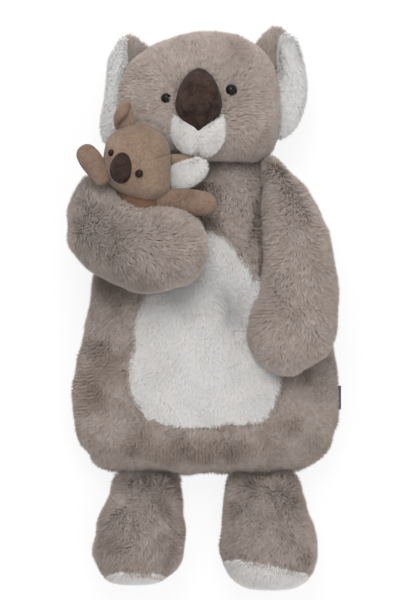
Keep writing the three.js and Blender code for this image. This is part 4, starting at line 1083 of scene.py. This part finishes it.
for side, stations, axis, ends, nap, seed in (
    ("left", left_arm_stations, "y", (1, 0.6), nap_down(outwards=0.03, middle=92), 51),
    ("right", right_arm_stations, "x", (1.7, 1), right_arm_nap, 61),
):
    arm_grid = stuffed(
        stations, rows=64, around=72, seam=arm_seam_share, back=arm_back_power, inset=skin_depth,
        axis=axis, ends=ends,
    )
    arm_grid = rested(stuffing(arm_grid, seed, depth=1.4, size=50.0))
    plush(
        "arm", arm_grid, taupe_cloth, taupe_pile, node=f"arm_{side}", slot="plush", fill=0.8,
        body=f"{side}_arm", end=f"_{side}", count=48000, seed=seed, nap=nap, length=7.6, crush=0.3,
    )


# Legs: stuffed plush feet sewn into the bottom seam, each with a crease down its front and a flat
# white plush sole, which faces the foot end and a little up.
leg_seam, leg_press = 0.4, 2.0
sole_depth = skin_depth - 1.5
sole_rows = 48
sole_lean = 0.23
sole_margin, sole_overlap = 3, 1.5
# Each leg's stations, the line and the depth of its crease, the turn of its sole to one side, how
# far away the sole is, and its seed
legs = {
    "left": (
        [
            (-284.5, 50, 82, 20, 42), (-280, 36, 96, 7, 58), (-271, 25, 107, 0, 70), (-259, 19, 112, 0, 76),
            (-249, 16, 114, 0, 77), (-233, 16, 113, 0, 73), (-217, 18, 108, 0, 67), (-201, 19, 103, 0, 58),
            (-186, 20, 98, 1, 48), (-178, 21, 96, 5, 38), (-172, 22, 95, 12.4, 27.6),
            (-168.5, 23, 93, 17.8, 22.2), (-166.6, 25, 93, 19.2, 20.8),
        ],
        [(60, -166), (66, -178), (72, -192), (78, -212), (80, -232), (79, -240)], 3.2, -0.2, 253.6, 71,
    ),
    "right": (
        [
            (-279, -84, -56, 22, 40), (-275, -98, -44, 8, 56), (-267, -107, -33, 1, 70),
            (-259, -111, -25, 0, 75), (-247, -114, -21, 0, 76), (-233, -111, -20, 0, 72),
            (-217, -108, -21, 0, 66), (-201, -101, -23, 0, 58), (-186, -96, -24, 1, 48),
            (-178, -95, -23, 5, 38), (-172, -94, -23, 12.4, 27.6), (-168.5, -93, -23, 17.8, 22.2),
            (-166.6, -91, -25, 19.2, 20.8),
        ],
        [(-68, -172), (-73, -200), (-78, -230), (-82, -262)], 2.0, 0, 277, 81,
    ),
}


def sole_cut(turn, away):
    """Keeps for the pile of a leg and of its sole: a plane across the foot, turned to one side and
    leaning back, at its distance away in mm from the drawing's zero. The leg's pile ends a margin
    before the plane, and the sole's begins an overlap sooner."""
    facing = unit(np.array([turn, -1, sole_lean]))

    def leg_keep(points, normals):
        out = (points / mm - np.array([*toy_shift, 0])) @ facing
        return np.where(out > away - sole_margin, 0.0, 1.0)

    def sole_keep(points, normals):
        return 1.0 - leg_keep(points + sole_overlap * mm * facing, normals)

    return leg_keep, sole_keep


for side, (stations, crease, crease_depth, turn, away, seed) in legs.items():
    leg_keep, sole_keep = sole_cut(turn, away)
    leg_grid = stuffed(
        stations, rows=110, around=110, seam=leg_seam, press=leg_press, inset=skin_depth, ends=(1, -0.7)
    )
    leg_grid = stuffing(leg_grid, seed, depth=1.2, size=48.0)
    leg_grid = sew_groove(leg_grid, crease, crease_depth, width=2.4)
    plush(
        "leg", leg_grid, taupe_cloth, taupe_pile, node=f"leg_{side}", slot="plush", fill=0.8,
        body=f"{side}_leg", end=f"_{side}", count=38000, seed=seed, keep=leg_keep, length=7.6,
        crush=0.55, tuft=0.3,
    )
    sole_grid = stuffed(stations, rows=120, around=72, seam=leg_seam, press=leg_press, inset=sole_depth)
    sole_pile = pile(
        f"sole_pile_{side}", sole_grid[:sole_rows], white_pile, count=9000, seed=seed + 1, length=6.0,
        width=0.75, lean=(40, 68), nap=(0, -0.6, -1), keep=sole_keep, poles=(True, False),
    )
    belongs((sole_pile,), f"sole_{side}", body=f"{side}_leg")


# Young koala: a small toy of short tan velour over wadding, sewn into the bend of the right arm.
# Its head has a seam down one side and another to the ear; its arms lie over the big arm.
def velour_material(name, colour, deep):
    """Short brushed pile: streaks and mottles of three sizes in its colour, two in its height."""
    material, shader, look = new_material(name)
    place = own_place(look)
    brushed = look.node("ShaderNodeMapping", Vector=place, Scale=(1.0, 0.35, 0.6))
    hair = noise(brushed, scale=1500.0, detail=3.0, roughness=0.6)
    tuft = noise(place, scale=380.0, detail=3.0, roughness=0.6)
    broad = noise(place, scale=42.0, detail=3.0, roughness=0.6)
    mix = uneven(0.55, (hair, 1.7), (tuft, 1.5), (broad, 1.9))
    normal = look.node("ShaderNodeBump", Height=hair + tuft, Distance=0.0008, Strength=0.8)
    feed(
        shader, Base_Color=mix.mixed(deep, colour), Roughness=0.92, Normal=normal,
        Specular_IOR_Level=0.12, Sheen_Weight=0.12, Sheen_Roughness=0.6,
    )
    return material


def paddle(start, end, width, depth, shares, rows=40, around=48):
    """Ovals across the line from start to end, in mm; the shares, drawn through smoothly, give the
    place of each along the line and how much it has of the width and depth."""
    start, end = np.asarray(start, float), np.asarray(end, float)
    along = unit(end - start)
    across = unit(np.cross((0, 0, 1), along))
    up = np.cross(along, across)
    place, wide, deep = through(shares, rows).T[:, :, None]
    turn = np.linspace(0, 2 * np.pi, around, endpoint=False)
    middle = start + place * (end - start)
    return placed(
        middle[:, None]
        + (wide * width / 2 * np.cos(turn))[..., None] * across
        + (deep * depth / 2 * np.sin(turn))[..., None] * up
    )


tan_nap = velour_material("tan_nap", colour=(0.262, 0.182, 0.131), deep=(0.15, 0.098, 0.067))
# A darker, redder velour for inside the right ear's fold: painted shade
fold_shade_nap = velour_material("fold_shade_nap", colour=(0.215, 0.14, 0.103), deep=(0.115, 0.07, 0.05))
limb_nap = velour_material("limb_nap", colour=(0.215, 0.146, 0.106), deep=(0.12, 0.077, 0.053))
# A darker, redder copy of the tan velour for the body under the head: painted shade
shaded_tan_nap = velour_material("shaded_tan_nap", colour=(0.17, 0.095, 0.06), deep=(0.085, 0.045, 0.028))

ball_seam, ball_power = 0.5, 2
baby_head_stations = [
    (103.5, -60, -55, 100, 110), (106, -70, -46, 88, 122), (113, -85, -36, 79, 133), (121, -94, -34, 74, 138),
    (131, -100, -34.6, 71, 141), (142, -101, -34, 70, 142), (152, -100, -34, 71, 141),
    (162, -97.6, -36.4, 75, 138), (171, -91.7, -43, 82, 131), (177, -82.2, -52, 91, 122),
    (180.5, -68, -60, 100, 112),
]
ear_seam = [(-57, 142), (-50, 144), (-42, 147), (-35, 149.5)]
side_seam = [(-78, 180), (-86, 172), (-90, 162), (-91, 150), (-94, 138), (-92, 124), (-85, 118)]
baby_head_grid = stuffed(baby_head_stations, 150, 200, ball_seam, front=ball_power, back=ball_power)
baby_head_grid = sew_groove(sew_groove(baby_head_grid, ear_seam), side_seam, depth=0.6)

body_shares = [
    (0, 0.3, 0.3), (0.1, 0.7, 0.7), (0.3, 0.95, 0.95), (0.55, 1, 1), (0.8, 0.85, 0.85), (1, 0.4, 0.4)
]
limb_shares = [
    (0, 0.4, 0.5), (0.06, 0.7, 0.8), (0.25, 0.86, 1), (0.6, 1, 1), (0.85, 0.88, 0.85), (0.96, 0.6, 0.6),
    (1, 0.3, 0.3),
]
left_ear_outline = [
    (-1, -0.46), (-0.74, -1), (-0.23, -0.89), (0.28, -0.62), (0.74, -0.24), (1, 0.08), (0.95, 0.57),
    (0.59, 0.78), (0.28, 0.95), (-0.28, 1), (-0.85, 0.95), (-0.95, 0.73),
]
right_ear_outline = [
    (-1, -0.21), (-0.81, -0.75), (-0.12, -1), (0.63, -0.94), (1, -0.5), (0.81, 0.06), (0.67, 0.69),
    (0.43, 1), (-0.04, 0.88), (-0.58, 0.5), (-0.91, 0.14),
]
for node, form, grid, material in (
    ("baby_head", "baby_head_form", baby_head_grid, tan_nap),
    (
        "baby_body", "baby_body_form",
        paddle((-64, 72, 98), (-66, 125, 104), width=52, depth=40, shares=body_shares), shaded_tan_nap,
    ),
    (
        "baby_arm_left", "baby_arm_form_left",
        paddle((-50, 106, 112), (11, 101, 104), width=26, depth=15, shares=limb_shares), limb_nap,
    ),
    (
        "baby_arm_right", "baby_arm_form_right",
        paddle((-97, 122, 122), (-122, 158, 108), width=23, depth=15, shares=limb_shares), limb_nap,
    ),
    (
        "baby_ear_left", "baby_ear_form_left",
        pillow(left_ear_outline, (19.5, 18.5), front=6, back=6, at=(-19, 133, 98)), tan_nap,
    ),
    (
        "baby_ear_right", "baby_ear_form_right",
        pillow(right_ear_outline, (10.8, 16), front=6, back=6, at=(-79.8, 188, 108)), tan_nap,
    ),
):
    belongs((skin(form, grid, material),), node, body="right_arm")

# Its nose is a small suede pad and its eyes are brown beads
baby_nose_outline = [
    (0, 1), (-0.52, 0.84), (-0.88, 0.42), (-1, -0.08), (-0.88, -0.52), (-0.52, -0.86), (0, -1),
    (0.52, -0.86), (0.88, -0.52), (1, -0.08), (0.88, 0.42), (0.52, 0.84),
]
baby_nose_at, baby_nose_half, baby_nose_sink = (-80, 136.5), (12.2, 16), 8
baby_nose_tilt = (0.25, -0.35, -0.12)
baby_nose_level = front_at(baby_head_stations, baby_nose_at, ball_seam, ball_power) - baby_nose_sink
baby_nose_grid = pillow(
    baby_nose_outline, baby_nose_half, front=16, back=6, at=(*baby_nose_at, baby_nose_level),
    tilt=baby_nose_tilt, layers=22, around=48,
)
baby_nose = skin("baby_nose_pad", baby_nose_grid, brown_suede)
belongs((baby_nose,), "baby_nose", body="right_arm")
bead_plastic = plastic_material("bead_plastic", (0.012, 0.0055, 0.0045), roughness=0.35, gloss=0.15)
for side, spot, radius in (("left", (-64.5, 130), 4.0), ("right", (-92, 151), 3.4)):
    bead_level = front_at(baby_head_stations, spot, ball_seam, ball_power)
    bead = dome(f"baby_eye_dome_{side}", spot, bead_level, radius, bead_plastic, rows=14, around=24)
    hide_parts(f"baby_eye_{side}")
    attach(bead, "right_arm")

# Its left ear has a white plush lining, and inside the fold of its right ear is a darker, redder
# velour: painted shade in the fold
left_lining_outline = [
    (-1, -0.59), (-0.79, -1), (-0.25, -0.87), (0.28, -0.52), (0.76, -0.08), (1, 0.3), (0.97, 0.81),
    (0.65, 1), (0.17, 0.84), (-0.41, 0.62), (-0.95, 0.24),
]
right_lining_outline = [
    (-1, -0.48), (-0.67, -1), (-0.13, -0.74), (0.53, -0.3), (0.93, 0.22), (1, 0.91), (0.53, 1),
    (-0.27, 0.65), (-0.8, 0.22),
]
baby_lining_grid = pillow(
    left_lining_outline, (17.5, 14.5), front=4.5, back=3, at=(-18.7, 129.7, 105), layers=14, around=48
)
plush(
    "baby_lining", baby_lining_grid, white_cloth, white_pile, node="baby_ear_lining_left",
    slot="white_plush", fill=0.5, body="right_arm", end="_left", count=6000, seed=91, length=5.6,
    width=0.7, lean=(44, 68), nap=(0.5, 0.4, 0), lock=4.0, gather=0.08,
)
inner_ear_grid = pillow(
    right_lining_outline, (7.5, 11.5), front=8, back=4, at=(-82, 190.5, 115), layers=20, around=48
)
inner_ear = skin("baby_inner_ear_right", inner_ear_grid, fold_shade_nap)
belongs((inner_ear,), "baby_ear_lining_right", body="right_arm")


# Zip: two woven tapes with moulded teeth sewn in down the middle of the back, with a metal stop
# at the bottom, a metal slider and its pull. They are the CAD's own pieces.
def metal_material(name, colour, roughness):
    """Plated metal: a fine grain, darker in its colour and duller in its gloss."""
    material, shader, look = new_material(name)
    grain = noise(own_place(look), scale=700.0, detail=4.0, roughness=0.6)
    shown = grain.mixed(times(colour, (0.7, 0.7, 0.7)), colour)
    feed(shader, Base_Color=shown, Metallic=1.0, Roughness=grain * 0.2 + roughness)
    return material


# How long a wave is at scale 1, in metres
wave_length = 0.314


def woven_material(name, colour, deep, pitch):
    """A tape of fine crossed threads, a pitch in metres apart: the mean of a wave across and a
    wave along raises and shades it."""
    material, shader, look = new_material(name)
    place = own_place(look)
    warp, weft = (
        look.node(
            "ShaderNodeTexWave", settings={"bands_direction": way}, Vector=place,
            Scale=wave_length / pitch,
        )
        for way in ("X", "Y")
    )
    thread = look.node("ShaderNodeMix", settings={"data_type": "FLOAT"}, _0=0.5, _2=warp, _3=weft)
    normal = look.node("ShaderNodeBump", Height=thread, Distance=0.0002, Strength=0.8)
    feed(shader, Base_Color=thread.mixed(deep, colour), Roughness=0.8, Normal=normal)
    return material


zip_metal = metal_material("zip_metal", (0.62, 0.58, 0.52), roughness=0.28)
zip_weave = woven_material(
    "zip_weave", colour=(0.33, 0.28, 0.25), deep=(0.20, 0.17, 0.15), pitch=0.0011
)
for node in ("zip_tape_left", "zip_tape_right"):
    coat(node, zip_weave)
for node in ("zip_stop", "zip_slider", "zip_pull"):
    coat(node, zip_metal)


# Label: a bare loop of narrow blue-black woven tape, caught in the side seam. It is the CAD's
# own piece.
label_weave = woven_material(
    "label_weave", colour=(0.05, 0.07, 0.16), deep=(0.02, 0.03, 0.08), pitch=0.0009
)
coat("side_label", label_weave)


# Bottle: moulded from dark red rubber with a threaded brass insert in its neck, closed by a
# black rubber stopper that screws down on a washer. They are the CAD's own pieces.
def rubber_material(name, colour, deep):
    """Moulded rubber: broad noise in its colour and gloss for the bloom, fine noise in its height."""
    material, shader, look = new_material(name)
    place = own_place(look)
    bloom = noise(place, scale=60.0, detail=5.0, roughness=0.6)
    grain = noise(place, scale=900.0, detail=3.0, roughness=0.5)
    normal = look.node("ShaderNodeBump", Height=grain, Distance=0.0002, Strength=0.5)
    feed(shader, Base_Color=bloom.mixed(deep, colour), Roughness=bloom * 0.2 + 0.5, Normal=normal)
    return material


insert_brass = metal_material("insert_brass", (0.72, 0.55, 0.28), roughness=0.25)
bottle_rubber = rubber_material("bottle_rubber", colour=(0.24, 0.06, 0.07), deep=(0.16, 0.035, 0.045))
stopper_rubber = rubber_material("stopper_rubber", colour=(0.035, 0.033, 0.034), deep=(0.02, 0.02, 0.02))
coat("bottle_shell", bottle_rubber)
coat("neck_insert", insert_brass)
coat("stopper", stopper_rubber)
coat("stopper_washer", stopper_rubber)
